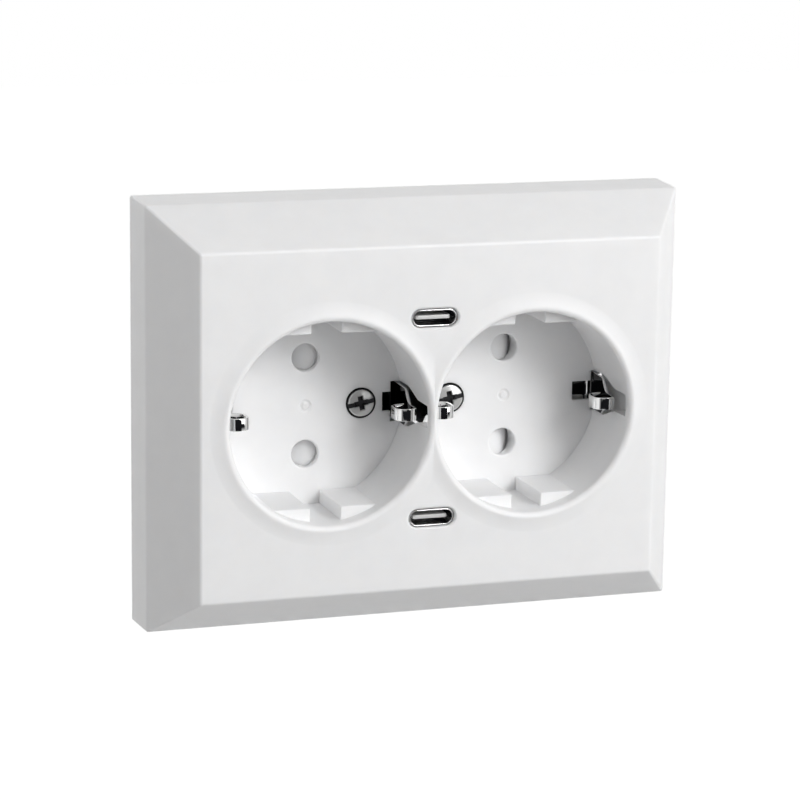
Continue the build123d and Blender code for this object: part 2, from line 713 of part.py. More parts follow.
def contact_carrier():
    """The plate over the contacts, with pin guides, shutter rails and posts for the cover screws."""
    outline = insert_outline(base_inner_radius - carrier_gap, base_inner_flat - carrier_gap)
    tail_room = Rectangle(terminal_tab_width + 2 * carrier_gap, 2 * plate_thickness + carrier_gap)
    outline -= Pos(terminal_offset, terminal_top_z) * tail_room
    for x in (-strap_screw_x, strap_screw_x):
        outline -= Pos(x, 0) * Circle(strap_boss_radius + carrier_gap)
    for x in (-well_x, well_x):
        for z in (-pin_z, pin_z):
            outline -= Pos(x, z) * Circle(pin_hole_radius)
    board_slot = board_slot_outline(port_board_width)
    outline -= [Pos(0, z) * board_slot for z in (-board_z, board_z)]
    for x, z in ((boss_x, boss_z), (-boss_x, -boss_z)):
        outline -= Pos(x, z) * Circle(carrier_screw_radius)
    plate = prism(outline, carrier_front_y, carrier_back_y)
    rail_low = flag_high_z + slide_gap
    rail_start = flag_inner_x - shutter_travel
    for sign in (-1, 1):
        for up in (-1, 1):
            x_low, x_high = sorted((sign * rail_start, sign * flag_inner_x))
            z_low, z_high = sorted((up * rail_low, up * (rail_low + shutter_rail_width)))
            plate += box(x_low, x_high, bridge_front_y, carrier_front_y, z_low, z_high)
        post_x = sign * cover_screw_x
        plate += box(post_x - carrier_post_half, post_x + carrier_post_half, 0, carrier_front_y,
                     -carrier_post_half, carrier_post_half)
        plate -= rod(post_x, 0, screw_radius + screw_clearance, 0, carrier_back_y)
    return one(plate)


# Busbars
def contact_leaf_pair():
    """The two sprung leaves that grip a pin, on a pin axis at the origin of X and Z."""
    root = pin_diameter / 2 + contact_leaf / 2 + contact_play
    pinch_y = contact_front_y + contact_flare_length
    straight_y = pinch_y + contact_pinch_length
    points = [(0, busbar_front_y, root), (0, straight_y, root), (0, pinch_y, root - contact_pinch),
              (0, contact_front_y, root)]
    path = FilletPolyline(*points, radius=contact_bend_radius)
    leaf = extrude(make_face(path.offset_2d(contact_leaf / 2)), amount=contact_width / 2, both=True)
    leaf &= box(-contact_width, contact_width, contact_front_y, busbar_front_y, -contact_width, contact_width)
    return leaf, mirror(leaf, Plane.XY)


def busbar(up, tab_x):
    """A flat bar that joins two pin contacts of one pole and reaches its terminal."""
    z = up * pin_z
    half = contact_width / 2
    reach = well_x + half
    bar = box(-reach, reach, busbar_front_y, busbar_back_y, z - half, z + half)
    tab_half = terminal_tab_width / 2
    tab_low, tab_high = sorted((z, up * (terminal_low_z + terminal_height)))
    bar += box(tab_x - tab_half, tab_x + tab_half, busbar_front_y, busbar_back_y, tab_low, tab_high)
    bar -= rod(tab_x, up * terminal_wire_z, terminal_wire_radius, busbar_front_y, busbar_back_y)
    for x in (-well_x, well_x):
        for leaf in contact_leaf_pair():
            bar += Pos(x, 0, z) * leaf
    return one(bar)


# Terminals
def terminal_places():
    """Line, earth and neutral: the X of each terminal, and whether it is above or below."""
    return [(-terminal_offset, 1), (terminal_offset, 1), (terminal_offset, -1)]


def terminal(x, up, rear_y, top_z):
    """A brass clamp block with a wire bore from the rear and a screw hole from above or below."""
    half = terminal_width / 2
    block = box(x - half, x + half, busbar_front_y - terminal_depth, rear_y, terminal_low_z, top_z)
    block -= rod(x, terminal_wire_z, terminal_wire_radius, busbar_front_y - terminal_wire_depth, rear_y)
    block -= rod_z(x, terminal_screw_y, terminal_screw_radius, terminal_wire_z, top_z)
    return one(block if up > 0 else mirror(block, Plane.XY))


# USB-C receptacles, drawn for the upper port
def port_shell():
    """The drawn steel shell of a receptacle."""
    front_y = face_y + port_recess
    ring = SlotOverall(port_width, port_height)
    ring -= SlotOverall(port_width - 2 * port_wall, port_height - 2 * port_wall)
    return one(prism(Pos(0, port_z) * ring, front_y, front_y + port_length))


def port_tongue():
    """The contact tongue and the block that holds it in the back of the shell."""
    front_y = face_y + port_recess
    back_y = front_y + port_length
    block_front_y = back_y - tongue_block_depth
    inside = 2 * (port_wall + tongue_fit)
    block = Pos(0, port_z) * SlotOverall(port_width - inside, port_height - inside)
    block = prism(block, block_front_y, back_y)
    tongue = Pos(0, port_z) * Rectangle(tongue_width, tongue_thickness)
    tongue = prism(tongue, front_y + tongue_setback, block_front_y)
    front_edges = tongue.edges().group_by(Axis.Y)[0].filter_by(Axis.Z)
    tongue = chamfer(front_edges, tongue_thickness / 2)
    return one(block + tongue)


def port_board():
    """The small board that carries a receptacle and plugs into the charger board."""
    z_low = board_z - port_board_thickness / 2
    z_high = z_low + port_board_thickness
    half = port_board_width / 2
    tail_half = port_tail_width / 2
    front_y = face_y + cover_wall + port_board_setback
    tail_y = board_back_y + port_tail_length
    board = box(-half, half, front_y, carrier_back_y, z_low, z_high)
    return one(board + box(-tail_half, tail_half, carrier_back_y, tail_y, z_low, z_high))


def below(shape):
    """The same piece for the lower port."""
    return one(mirror(shape, Plane.XY))


# Charger
def supply_places():
    """Where the line and neutral supply pins stand, as X and Z."""
    return [(-supply_pin_offset, pin_z), (supply_pin_offset, -pin_z)]


def charger_board():
    """The power board behind the contact carrier, slotted for the port boards."""
    sheet = Rectangle(charger_board_width, charger_board_height)
    tail_slot = board_slot_outline(port_tail_width)
    sheet -= [Pos(0, z) * tail_slot for z in (-board_z, board_z)]
    for x, z in supply_places():
        sheet -= Pos(x, z) * Circle(supply_pin_radius + supply_pin_fit)
    return one(prism(sheet, carrier_back_y, board_back_y))


def supply_pin(x, z):
    """A pin that brings a pole's supply from its busbar to the charger board."""
    return one(rod(x, z, supply_pin_radius, carrier_back_y, busbar_front_y))


def transformer_depths():
    """Front and back of the ferrite core, centred in the room behind the board."""
    return board_back_y + winding_margin, busbar_back_y - winding_margin


def transformer_core():
    """The ferrite core: yokes, outer legs and the middle leg."""
    front_y, back_y = transformer_depths()
    window = core_width / 2 - core_yoke
    core = box(-core_width / 2, core_width / 2, front_y, back_y, -core_height / 2, core_height / 2)
    leg = core_leg / 2
    core -= box(-window, window, front_y, back_y, leg, leg + core_window)
    core -= box(-window, window, front_y, back_y, -leg - core_window, -leg)
    return one(core)


def transformer_winding():
    """The taped winding round the core's middle leg."""
    front_y, back_y = transformer_depths()
    half_x = core_width / 2 - core_yoke - winding_fit
    half_z = core_leg / 2 + core_window - winding_fit
    leg = core_leg / 2 + winding_fit
    coil = box(-half_x, half_x, board_back_y, busbar_back_y, -half_z, half_z)
    coil = fillet(coil.edges().filter_by(Axis.X), winding_round)
    return one(coil - box(-half_x, half_x, front_y - winding_fit, back_y + winding_fit, -leg, leg))


def capacitor(x, length):
    """A wet capacitor can standing on the board, with its rolled groove."""
    can = rod(x, 0, capacitor_radius, board_back_y, board_back_y + length)
    groove_front = board_back_y + capacitor_groove_setback
    groove = Circle(capacitor_radius) - Circle(capacitor_radius - capacitor_groove_depth)
    can -= prism(Pos(x, 0) * groove, groove_front, groove_front + capacitor_groove_width)
    return one(can)


def board_chip(z):
    """A moulded chip on the back of the charger board."""
    half_width = chip_width / 2
    half_height = chip_height / 2
    chip_back_y = board_back_y + chip_thickness
    chip = box(-half_width, half_width, board_back_y, chip_back_y, z - half_height, z + half_height)
    return one(chamfer(chip.edges().group_by(Axis.Y)[-1], chip_chamfer))


def all_pieces():
    """Every node's name and shape."""
    pieces = {"front_cover": front_cover()}
    pieces["cover_screws"] = Compound([cover_screw(-cover_screw_x), cover_screw(cover_screw_x)])
    pieces["earth_strap_right"] = earth_strap()
    pieces["earth_strap_left"] = one(mirrored(earth_strap()))
    pieces["strap_screws"] = Compound([strap_screw(-strap_screw_x), strap_screw(strap_screw_x)])
    pieces["support_plate"] = support_plate()
    pieces["shutter_right"] = shutter()
    pieces["shutter_left"] = one(mirrored(shutter()))
    pieces["shutter_spring_right"] = shutter_spring()
    pieces["shutter_spring_left"] = one(mirrored(shutter_spring()))
    pieces["insert_base"] = insert_base()
    pieces["contact_carrier"] = contact_carrier()
    pieces["carrier_screws"] = Compound([carrier_screw(boss_x, boss_z), carrier_screw(-boss_x, -boss_z)])
    pieces["line_busbar"] = busbar(1, -terminal_offset)
    pieces["neutral_busbar"] = busbar(-1, terminal_offset)
    names = ("line_terminal", "earth_terminal", "neutral_terminal")
    for name, (x, up) in zip(names, terminal_places()):
        rear_y = busbar_back_y if name == "earth_terminal" else busbar_front_y
        top_z = terminal_top_z if name == "earth_terminal" else terminal_seat_z
        pieces[name] = terminal(x, up, rear_y, top_z)
    pieces["terminal_screws"] = Compound([terminal_screw(x, up > 0) for x, up in terminal_places()])
    port_pieces = {"usb_shell": port_shell(), "usb_tongue": port_tongue(), "port_board": port_board()}
    for name, shape in port_pieces.items():
        pieces[name + "_upper"] = shape
        pieces[name + "_lower"] = below(shape)
    pieces["charger_board"] = charger_board()
    pieces["supply_pins"] = Compound([supply_pin(x, z) for x, z in supply_places()])
    pieces["transformer_core"] = transformer_core()
    pieces["transformer_winding"] = transformer_winding()
    capacitor_x = core_width / 2 + capacitor_gap + capacitor_radius
    pieces["input_capacitor"] = capacitor(-capacitor_x, input_capacitor_length)
    pieces["output_capacitor"] = capacitor(capacitor_x, output_capacitor_length)
    pieces["board_chips"] = Compound([board_chip(-chip_offset), board_chip(chip_offset)])
    return pieces


os.makedirs("parts", exist_ok=True)
for node, piece in all_pieces().items():
    export_step(piece, f"parts/{node}.step")
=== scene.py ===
import json
from math import asin, cos, hypot, pi, radians, sin, sqrt, tan

import bmesh
import bpy
from mathutils import Matrix, Vector

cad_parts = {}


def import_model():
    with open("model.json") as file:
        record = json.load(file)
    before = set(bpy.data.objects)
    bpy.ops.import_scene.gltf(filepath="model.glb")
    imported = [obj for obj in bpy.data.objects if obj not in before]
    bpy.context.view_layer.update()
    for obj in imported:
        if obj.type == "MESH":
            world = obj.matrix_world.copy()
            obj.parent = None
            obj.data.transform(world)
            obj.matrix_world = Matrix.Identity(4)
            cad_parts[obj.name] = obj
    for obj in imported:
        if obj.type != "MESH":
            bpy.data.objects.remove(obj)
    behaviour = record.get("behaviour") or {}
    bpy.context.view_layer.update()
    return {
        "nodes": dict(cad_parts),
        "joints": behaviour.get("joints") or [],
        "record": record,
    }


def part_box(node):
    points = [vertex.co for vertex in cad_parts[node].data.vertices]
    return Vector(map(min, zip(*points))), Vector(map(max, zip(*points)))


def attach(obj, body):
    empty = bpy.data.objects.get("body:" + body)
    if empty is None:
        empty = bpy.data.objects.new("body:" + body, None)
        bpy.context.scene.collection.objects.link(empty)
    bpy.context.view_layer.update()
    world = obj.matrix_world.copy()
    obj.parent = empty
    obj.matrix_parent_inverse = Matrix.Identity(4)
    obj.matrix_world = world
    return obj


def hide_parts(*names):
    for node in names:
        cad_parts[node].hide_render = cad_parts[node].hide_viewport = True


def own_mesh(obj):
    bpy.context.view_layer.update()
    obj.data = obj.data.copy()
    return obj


# The looks of a compact double earthed wall socket with two USB-C ports.
# Shapes are drawn in millimetres in the CAD frame and scaled to metres at the end of each piece.

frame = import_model()
SOCKET = "socket"
MM = 0.001

# Camera, matched to the photograph: place in millimetres, angles in radians
CAMERA_PLACE = (-181.02, -539.99, 121.78)
CAMERA_YAW = 0.324
CAMERA_PITCH = -0.212
CAMERA_ROLL = 0.014
CAMERA_LENS = 133.56
CAMERA_SENSOR = 36.0

# Well
WELL_RADIUS = 19.6
WELL_WALL = 1.6
WELL_FLOOR_FRONT = -4.2
WELL_FLOOR_BACK = -1.8
WELL_FOOT_ROUND = 0.15
COLLAR_RISE = 0.55
COLLAR_WIDTH = 4.0
COLLAR_SWEEP_RADIUS = 12.0
LIP_ROUND = 1.0
RIB_FLAT = 16.75
RIB_GAP = 6.0
RIB_SETBACK = 3.2
RIB_ROUND = 0.3
PIN_Z = 9.5
PIN_HOLE_RADIUS = 2.7
PIN_HOLE_RIM = 0.35
GATE_RADIUS = 1.3
GATE_WIDTH = 0.8
GATE_DEPTH = 0.25
SHUTTER_POCKET_Y = -2.8
SHUTTER_POCKET_GAP = 0.3
PIN_GUARD_WALL = 0.6
PIN_GUARD_END = 0.0
RAMP_FLAT = 0.4
RAMP_RISE = 3.2
RAMP_EDGE = 0.4

# Cover frame
SKIRT_DEPTH = 10.1
SKIRT_DRAFT = radians(2.2)
BEVEL_DEPTH = 11.2
BEVEL_INSET = 7.8
COVER_WALL = 2.2
EDGE_ROUND = 0.4
STIFFENER_THICKNESS = 1.2
STIFFENER_DEPTH = 9.0

# Clip slots and pockets in the cover
SLOT_INNER = 15.6
SLOT_WIDE_FROM = 17.25
OUTER_SLOT_INNER = 14.55
OUTER_SLOT_WIDE_FROM = 18.5
SLOT_NECK = 3.85
SLOT_LIP = 1.0
SLOT_RELIEF = 0.9
SLOT_WIDE = 8.0
SLOT_MARGIN = 0.35
SLOT_WIDE_LENGTH = 5.2
SLOT_TAPER_LENGTH = 4.9
SLOT_TOP_WIDTH = 4.4
SLOT_END_GAP = 2.0
POCKET_DEPTH = 2.2
POCKET_WALL = 1.2
STRAP_SCREW_ROOM_RADIUS = 2.3
STRAP_SCREW_ROOM_DEPTH = 0.9

# Earth straps
STRAP_THICKNESS = 0.6
STRAP_WIDTH = 7.3
STRAP_BEND_RADIUS = 1.2
STRAP_EDGE_ROUND = 0.08
STRAP_HOLE_RADIUS = 1.62
STRAP_SCREW_RADIUS = 1.25
ARM_TO_WALL = 0.85
OUTER_ARM_TO_WALL = 0.35
OUTER_ARM_BEND_RADIUS = 1.0
ARM_LEAN = 0.4
ARM_WIDE_LENGTH = 5.2
ARM_TAPER_LENGTH = 3.4
NOSE_WIDTH = 2.35
NOSE_SETBACK = 3.6
NOSE_REACH = 4.9
NOSE_DROP = 1.1
NOSE_LENGTH = 4.0
NOSE_BEND_RADIUS = 1.6
NOSE_TAIL_LENGTH = 2.7
NOSE_TAIL_DROP = 1.0

# Cover screws
SCREW_X = 9.1
SCREW_RADIUS = 1.5
SCREW_BORE_RADIUS = 1.62
SCREW_SEAT_Y = -3.4
SCREW_HEAD_RADIUS = 2.75
SCREW_HEAD_HEIGHT = 1.5
SCREW_HEAD_ROUND = 0.5
SCREW_HEAD_CROWN = 0.25
SCREW_POCKET_RADIUS = 3.05
SCREW_SLOT_WIDTH = 0.9
SCREW_SLOT_DEPTH = 0.7
SCREW_CROSS_WIDTH = 1.0
SCREW_CROSS_LENGTH = 3.2
SCREW_CROSS_DEPTH = 1.1
SCREW_CROSS_FLARE = 0.15
SCREW_CROSS_TAPER = 0.5
SCREW_TURN = radians(11.0)

# USB-C ports
PORT_WIDTH = 8.94
PORT_HEIGHT = 3.26
PORT_WALL = 0.28
PORT_GAP = 0.2
PORT_LEAD_IN = 0.3
PORT_GUIDE_WIDTH = 1.0
PORT_GUIDE_DEPTH = 6.0
PORT_GUIDE_GAP = 0.3
PORT_LIP_STEPS = 5
TONGUE_WIDTH = 6.69
TONGUE_THICKNESS = 0.7
TONGUE_SETBACK = 0.9
TONGUE_BLOCK_DEPTH = 2.2
TONGUE_FIT = 0.05
TONGUE_CORNER = 0.35
SLEEVE_PROUD = 0.03
SLEEVE_ROUND = 0.12

# Shutter springs
SPRING_WIRE = 0.35
SPRING_TURNS = 5
SPRING_STEPS = 28
SPRING_SIDES = 8

# Stage
LIGHT_DISTANCE = 1.0
# Each light: name, azimuth, elevation, size in metres, power, and whether metal mirrors it
LIGHTS = (
    ("key_right", 40, 15, 0.7, 3.55, True),
    ("key_high", 30, 30, 0.35, 4.2, True),
    ("front", 10, 15, 0.7, 1.75, False),
    ("left_front", -30, 15, 0.7, 0.2, False),
    ("left_top", -70, 50, 0.7, 1.75, True),
    ("left_side", -110, 10, 0.7, 2.2, True),
    ("back_right", 150, 2, 0.7, 1.75, True),
    ("back_left", -165, 20, 0.7, 2.4, True),
)
WHITE = (1, 1, 1, 1)
FILL_STRENGTH = 0.1
DARK_ROOM = (0.01, 0.01, 0.012, 1)
DARK_SIDE = (0.2, -0.95, -0.2)
DARK_FADE = (0.45, 0.75)
FLOOR_Z = -0.6
FLOOR_HALF_SIZE = 6.0
FLOOR_GLOW = 0.9
FLOOR_GRAIN = 40
FLOOR_TINTS = ((0.79, 0.79, 0.79, 1), (0.81, 0.81, 0.81, 1))
FLOOR_ROUGHNESS = 0.9

# Finishes by record slot, and a satin one for the steel round the USB-C tongues
# Each: dark and light tint, metallic, lowest and highest roughness, noise scale, relief depth in metres
FINISHES = {
    "cover_plastic": ((0.87, 0.87, 0.875), (0.89, 0.89, 0.893), 0, 0.46, 0.54, 2600, 2e-6),
    "shutter_plastic": ((0.86, 0.86, 0.865), (0.88, 0.88, 0.883), 0, 0.42, 0.52, 2600, 3e-6),
    "base_plastic": ((0.74, 0.74, 0.72), (0.78, 0.78, 0.76), 0, 0.5, 0.62, 1800, 6e-6),
    "carrier_plastic": ((0.66, 0.66, 0.65), (0.70, 0.70, 0.69), 0, 0.5, 0.6, 1800, 6e-6),
    "screw_steel": ((0.74, 0.74, 0.73), (0.82, 0.82, 0.81), 0.55, 0.18, 0.26, 3000, 2e-6),
    "clip_nickel": ((0.78, 0.78, 0.775), (0.86, 0.86, 0.855), 1, 0.04, 0.09, 2200, 1e-6),
    "plate_steel": ((0.56, 0.58, 0.60), (0.68, 0.70, 0.72), 1, 0.28, 0.46, 900, 4e-6),
    "spring_steel": ((0.52, 0.52, 0.52), (0.62, 0.62, 0.62), 1, 0.2, 0.3, 3000, 2e-6),
    "contact_brass": ((0.72, 0.53, 0.25), (0.82, 0.63, 0.32), 1, 0.2, 0.32, 1500, 2e-6),
    "terminal_brass": ((0.66, 0.50, 0.26), (0.78, 0.61, 0.34), 1, 0.26, 0.4, 1500, 4e-6),
    "port_steel": ((0.74, 0.74, 0.74), (0.84, 0.84, 0.84), 1, 0.1, 0.18, 2600, 1e-6),
    "sleeve_steel": ((0.80, 0.80, 0.79), (0.88, 0.88, 0.87), 0.6, 0.38, 0.5, 2600, 1e-6),
    "tongue_plastic": ((0.012, 0.012, 0.014), (0.02, 0.02, 0.022), 0, 0.35, 0.45, 2600, 2e-6),
    "board_laminate": ((0.012, 0.075, 0.03), (0.02, 0.11, 0.045), 0, 0.3, 0.42, 1600, 3e-6),
    "ferrite": ((0.03, 0.03, 0.032), (0.05, 0.05, 0.052), 0, 0.5, 0.66, 1200, 8e-6),
    "winding_tape": ((0.62, 0.45, 0.06), (0.72, 0.54, 0.09), 0, 0.28, 0.4, 800, 6e-6),
    "capacitor_can": ((0.02, 0.022, 0.035), (0.03, 0.032, 0.048), 0, 0.25, 0.34, 900, 2e-6),
    "chip_resin": ((0.015, 0.015, 0.015), (0.025, 0.025, 0.025), 0, 0.5, 0.6, 2400, 4e-6),
}
TINT_BREADTH = 12
TINT_DETAIL = 3
TINT_STOPS = (0.3, 0.7)
RELIEF_DETAIL = 4
RELIEF_STRENGTH = 0.35

# Painted shade: dark tones painted where shade falls in deep places, and where those begin
PAINTED_SHADE_TONE = (0.012, 0.012, 0.013, 1)
PAINTED_RECESS_SHADE = (0.06, 0.06, 0.063, 1)
ARM_SHADE_FROM = 17.9
ARM_SHADE_TURN = 0.8
BEND_SHADE_Y = -2.9
RECESS_SHADE_FADE_Y = (-4.6, -4.4)
SEAT_SHADE_EDGE = 0.05

# How much light the white plastics let through, and how far it spreads in metres
TRANSLUCENT = {"cover_plastic": 0.8, "shutter_plastic": 0.8}
SCATTER_DEPTH = 0.0012
SCATTER_TINT = (1, 0.97, 0.94)

# A colour mix node's sockets by number, because several share a name
MIX_FACTOR = 0
MIX_FIRST = 6
MIX_SECOND = 7
MIX_RESULT = 2

# Fineness of the meshes, how far a cutter stands past what it cuts, and how near counts as the same place
ROUND_STEPS = 192
SMALL_STEPS = 64
ARC_STEPS = 8
FOOT_STEPS = 4
RIM_STEPS = 5
STRAIGHT_STEPS = 24
EDGE_SEGMENTS = 4
SMALL_EDGE_SEGMENTS = 3
ROUND_PROFILE = 0.5
CUT_PAST = 1.0
SAME_PLACE = 0.01
MERGE_DISTANCE = 0.0005
NORMAL_WEIGHT = 90
SMOOTH_ANGLE = radians(28.0)
STRIP_SMOOTH_ANGLE = radians(50.0)
WIRE_SMOOTH_ANGLE = radians(60.0)


def node_box(name):
    """A CAD node's lowest and highest corners, in millimetres."""
    low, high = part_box(name)
    return low / MM, high / MM


cover_low, cover_high = node_box("front_cover")
head_low, head_high = node_box("strap_screws")
port_low, port_high = node_box("usb_shell_upper")
shutter_low, shutter_high = node_box("shutter_right")
board_low, board_high = node_box("port_board_upper")
FACE_Y = -SKIRT_DEPTH - BEVEL_DEPTH
COLLAR_TOP_Y = FACE_Y - COLLAR_RISE
WELL_X = (shutter_low.x + shutter_high.x) / 2
PORT_Z = (port_low.z + port_high.z) / 2
STRAP_SCREW_X = head_high.x - (head_high.z - head_low.z) / 2
SHUTTER_TRAVEL = max(abs(limit) for joint in frame["joints"] for limit in joint["range_m"]) / MM


# Mesh helpers
def new_object(name, data):
    """An object of a mesh, a lamp or a camera, in the scene."""
    obj = bpy.data.objects.new(name, data)
    bpy.context.scene.collection.objects.link(obj)
    return obj


def from_bmesh(name, bm):
    """An object made from a bmesh, with its faces turned outwards."""
    bmesh.ops.recalc_face_normals(bm, faces=bm.faces)
    mesh = bpy.data.meshes.new(name)
    bm.to_mesh(mesh)
    bm.free()
    return new_object(name, mesh)


def discard(obj):
    """Takes an object and its mesh away."""
    mesh = obj.data
    bpy.data.objects.remove(obj)
    bpy.data.meshes.remove(mesh)


def to_bmesh(obj):
    """Turns an object back into a bmesh, and takes the object away."""
    bm = bmesh.new()
    bm.from_mesh(obj.data)
    discard(obj)
    return bm


def block(low, high):
    """A bmesh box between two corners."""
    bm = bmesh.new()
    bmesh.ops.create_cube(bm, size=1.0)
    size = Vector(high) - Vector(low)
    middle = (Vector(high) + Vector(low)) / 2
    for vert in bm.verts:
        vert.co = Vector(c * s for c, s in zip(vert.co, size)) + middle
    return bm


def prism(outline, place):
    """A bmesh prism: place(point, end) gives the corner of an outline point at end 0 or 1."""
    bm = bmesh.new()
    rings = [[bm.verts.new(place(point, end)) for point in outline] for end in (0, 1)]
    bm.faces.new(rings[0])
    bm.faces.new(reversed(rings[1]))
    count = len(outline)
    for i in range(count):
        j = (i + 1) % count
        bm.faces.new((rings[0][i], rings[1][i], rings[1][j], rings[0][j]))
    bmesh.ops.recalc_face_normals(bm, faces=bm.faces)
    return bm


def prism_y(outline, y_front, y_back):
    """An outline of (x, z) points run along Y."""
    return prism(outline, lambda p, end: (p[0], y_back if end else y_front, p[1]))


def prism_x(outline, x_low, x_high):
    """An outline of (y, z) points run along X."""
    return prism(outline, lambda p, end: (x_high if end else x_low, p[0], p[1]))


def prism_z(outline, z_low, z_high):
    """An outline of (x, y) points run along Z."""
    return prism(outline, lambda p, end: (p[0], p[1], z_high if end else z_low))


def lathe(outline, x, z, steps=ROUND_STEPS):
    """A closed outline of (radius, y) points turned about a Y axis at x, z."""
    bm = bmesh.new()
    rings = []
    for radius, y in outline:
        if radius == 0:
            rings.append([bm.verts.new((x, y, z))])
            continue
        angles = [2 * pi * i / steps for i in range(steps)]
        rings.append([bm.verts.new((x + radius * cos(a), y, z + radius * sin(a))) for a in angles])
    for ring, following in zip(rings, rings[1:] + rings[:1]):
        for i in range(steps):
            j = (i + 1) % steps
            corners = [ring[i % len(ring)], ring[j % len(ring)]]
            corners += [following[j % len(following)], following[i % len(following)]]
            unique = list(dict.fromkeys(corners))
            if len(unique) > 2:
                bm.faces.new(unique)
    bmesh.ops.recalc_face_normals(bm, faces=bm.faces)
    return bm


def arc(centre, radius, start, end, steps=ARC_STEPS):
    """Points of an arc in a plane, from one angle to another, both ends included."""
    turns = [start + (end - start) * i / steps for i in range(steps + 1)]
    return [(centre[0] + radius * cos(a), centre[1] + radius * sin(a)) for a in turns]


def stadium(width, height, steps=ARC_STEPS):
    """Points of a slot outline with round ends, about the origin."""
    radius = height / 2
    reach = width / 2 - radius
    right = arc((reach, 0), radius, -pi / 2, pi / 2, 2 * steps)
    left = arc((-reach, 0), radius, pi / 2, 3 * pi / 2, 2 * steps)
    return right + left


def loft(rings, closed=False):
    """A bmesh skin over rings of points, capped at both ends or joined end to end."""
    bm = bmesh.new()
    made = [[bm.verts.new(point) for point in ring] for ring in rings]
    following = made[1:] + made[:1] if closed else made[1:]
    for ring, after in zip(made, following):
        for i in range(len(ring)):
            j = (i + 1) % len(ring)
            bm.faces.new((ring[i], ring[j], after[j], after[i]))
    if not closed:
        bm.faces.new(made[0])
        bm.faces.new(made[-1])
    bmesh.ops.recalc_face_normals(bm, faces=bm.faces)
    return bm


def combine(target, bm, operation):
    """Works a bmesh into an object by a boolean, and keeps the result as the object's mesh."""
    tool = from_bmesh("tool", bm)
    step = target.modifiers.new("step", "BOOLEAN")
    step.operation = operation
    step.solver = "EXACT"
    step.object = tool
    evaluated = target.evaluated_get(bpy.context.evaluated_depsgraph_get())
    result = bpy.data.meshes.new_from_object(evaluated)
    target.modifiers.clear()
    old = target.data
    target.data = result
    bpy.data.meshes.remove(old)
    discard(tool)


def add(target, bm):
    """Joins a bmesh to an object."""
    combine(target, bm, "UNION")


def cut(target, bm):
    """Cuts a bmesh away from an object."""
    combine(target, bm, "DIFFERENCE")


def finish_mesh(obj, angle=SMOOTH_ANGLE):
    """Cleans a millimetre mesh, scales it to metres and shades it smooth up to an angle."""
    bm = bmesh.new()
    bm.from_mesh(obj.data)
    bmesh.ops.remove_doubles(bm, verts=bm.verts, dist=MERGE_DISTANCE)
    bmesh.ops.dissolve_degenerate(bm, edges=bm.edges, dist=MERGE_DISTANCE)
    bmesh.ops.recalc_face_normals(bm, faces=bm.faces)
    for edge in bm.edges:
        edge.smooth = len(edge.link_faces) == 2 and edge.calc_face_angle() < angle
    for face in bm.faces:
        face.smooth = True
    bm.transform(Matrix.Scale(MM, 4))
    bm.to_mesh(obj.data)
    bm.free()
    weights = obj.modifiers.new("weighted_normals", "WEIGHTED_NORMAL")
    weights.keep_sharp = True
    weights.weight = NORMAL_WEIGHT
    return obj


def dress(obj, finish, body, slot, *nodes):
    """Gives a piece its material and body, and hides the CAD nodes that it stands for; the record slot is
    not used.
    """
    obj.data.materials.clear()
    obj.data.materials.append(finish)
    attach(obj, body)
    if nodes:
        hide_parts(*nodes)


# Front cover
def frame_solid(inset, round_edges, back_y):
    """The drafted skirt and its mitred bevel as a full block, set in by a wall, from a given back."""
    bevel_angle = asin(BEVEL_INSET / hypot(BEVEL_INSET, BEVEL_DEPTH))
    skirt_y = -SKIRT_DEPTH + inset * tan(bevel_angle / 2)
    front_y = FACE_Y + inset
    half_width = (cover_high.x - cover_low.x) / 2 - inset
    half_height = (cover_high.z - cover_low.z) / 2 - inset
    draft_in = -skirt_y * tan(SKIRT_DRAFT)
    bevel_in = (skirt_y - front_y) * BEVEL_INSET / BEVEL_DEPTH
    rings = []
    for y, shrink in ((back_y, 0), (skirt_y, draft_in), (front_y, draft_in + bevel_in)):
        w = half_width - shrink
        h = half_height - shrink
        rings.append([(-w, y, -h), (w, y, -h), (w, y, h), (-w, y, h)])
    bm = loft(rings)
    if round_edges:
        front = [e for e in bm.edges if min(v.co.y for v in e.verts) < back_y - EDGE_ROUND]
        bmesh.ops.bevel(bm, geom=front, offset=EDGE_ROUND, segments=EDGE_SEGMENTS, profile=ROUND_PROFILE,
                        affect="EDGES", clamp_overlap=True)
    return bm


def collar_outline():
    """The raised ring round a well, falling in a hollow sweep to the face."""
    crest = (WELL_RADIUS + LIP_ROUND, COLLAR_TOP_Y)
    foot = (WELL_RADIUS + COLLAR_WIDTH, FACE_Y)
    chord = hypot(foot[0] - crest[0], foot[1] - crest[1])
    middle = ((crest[0] + foot[0]) / 2, (crest[1] + foot[1]) / 2)
    rise = sqrt(COLLAR_SWEEP_RADIUS ** 2 - (chord / 2) ** 2)
    across = ((foot[1] - crest[1]) / chord, -(foot[0] - crest[0]) / chord)
    centre = (middle[0] + across[0] * rise, middle[1] + across[1] * rise)
    sweep = []
    for i in range(ARC_STEPS + 1):
        share = i / ARC_STEPS
        x = crest[0] + (foot[0] - crest[0]) * share
        sweep.append((x, centre[1] + sqrt(COLLAR_SWEEP_RADIUS ** 2 - (x - centre[0]) ** 2)))
    root_y = FACE_Y + COVER_WALL / 2
    return [(WELL_RADIUS, root_y), (WELL_RADIUS, COLLAR_TOP_Y)] + sweep + [(foot[0], root_y)]


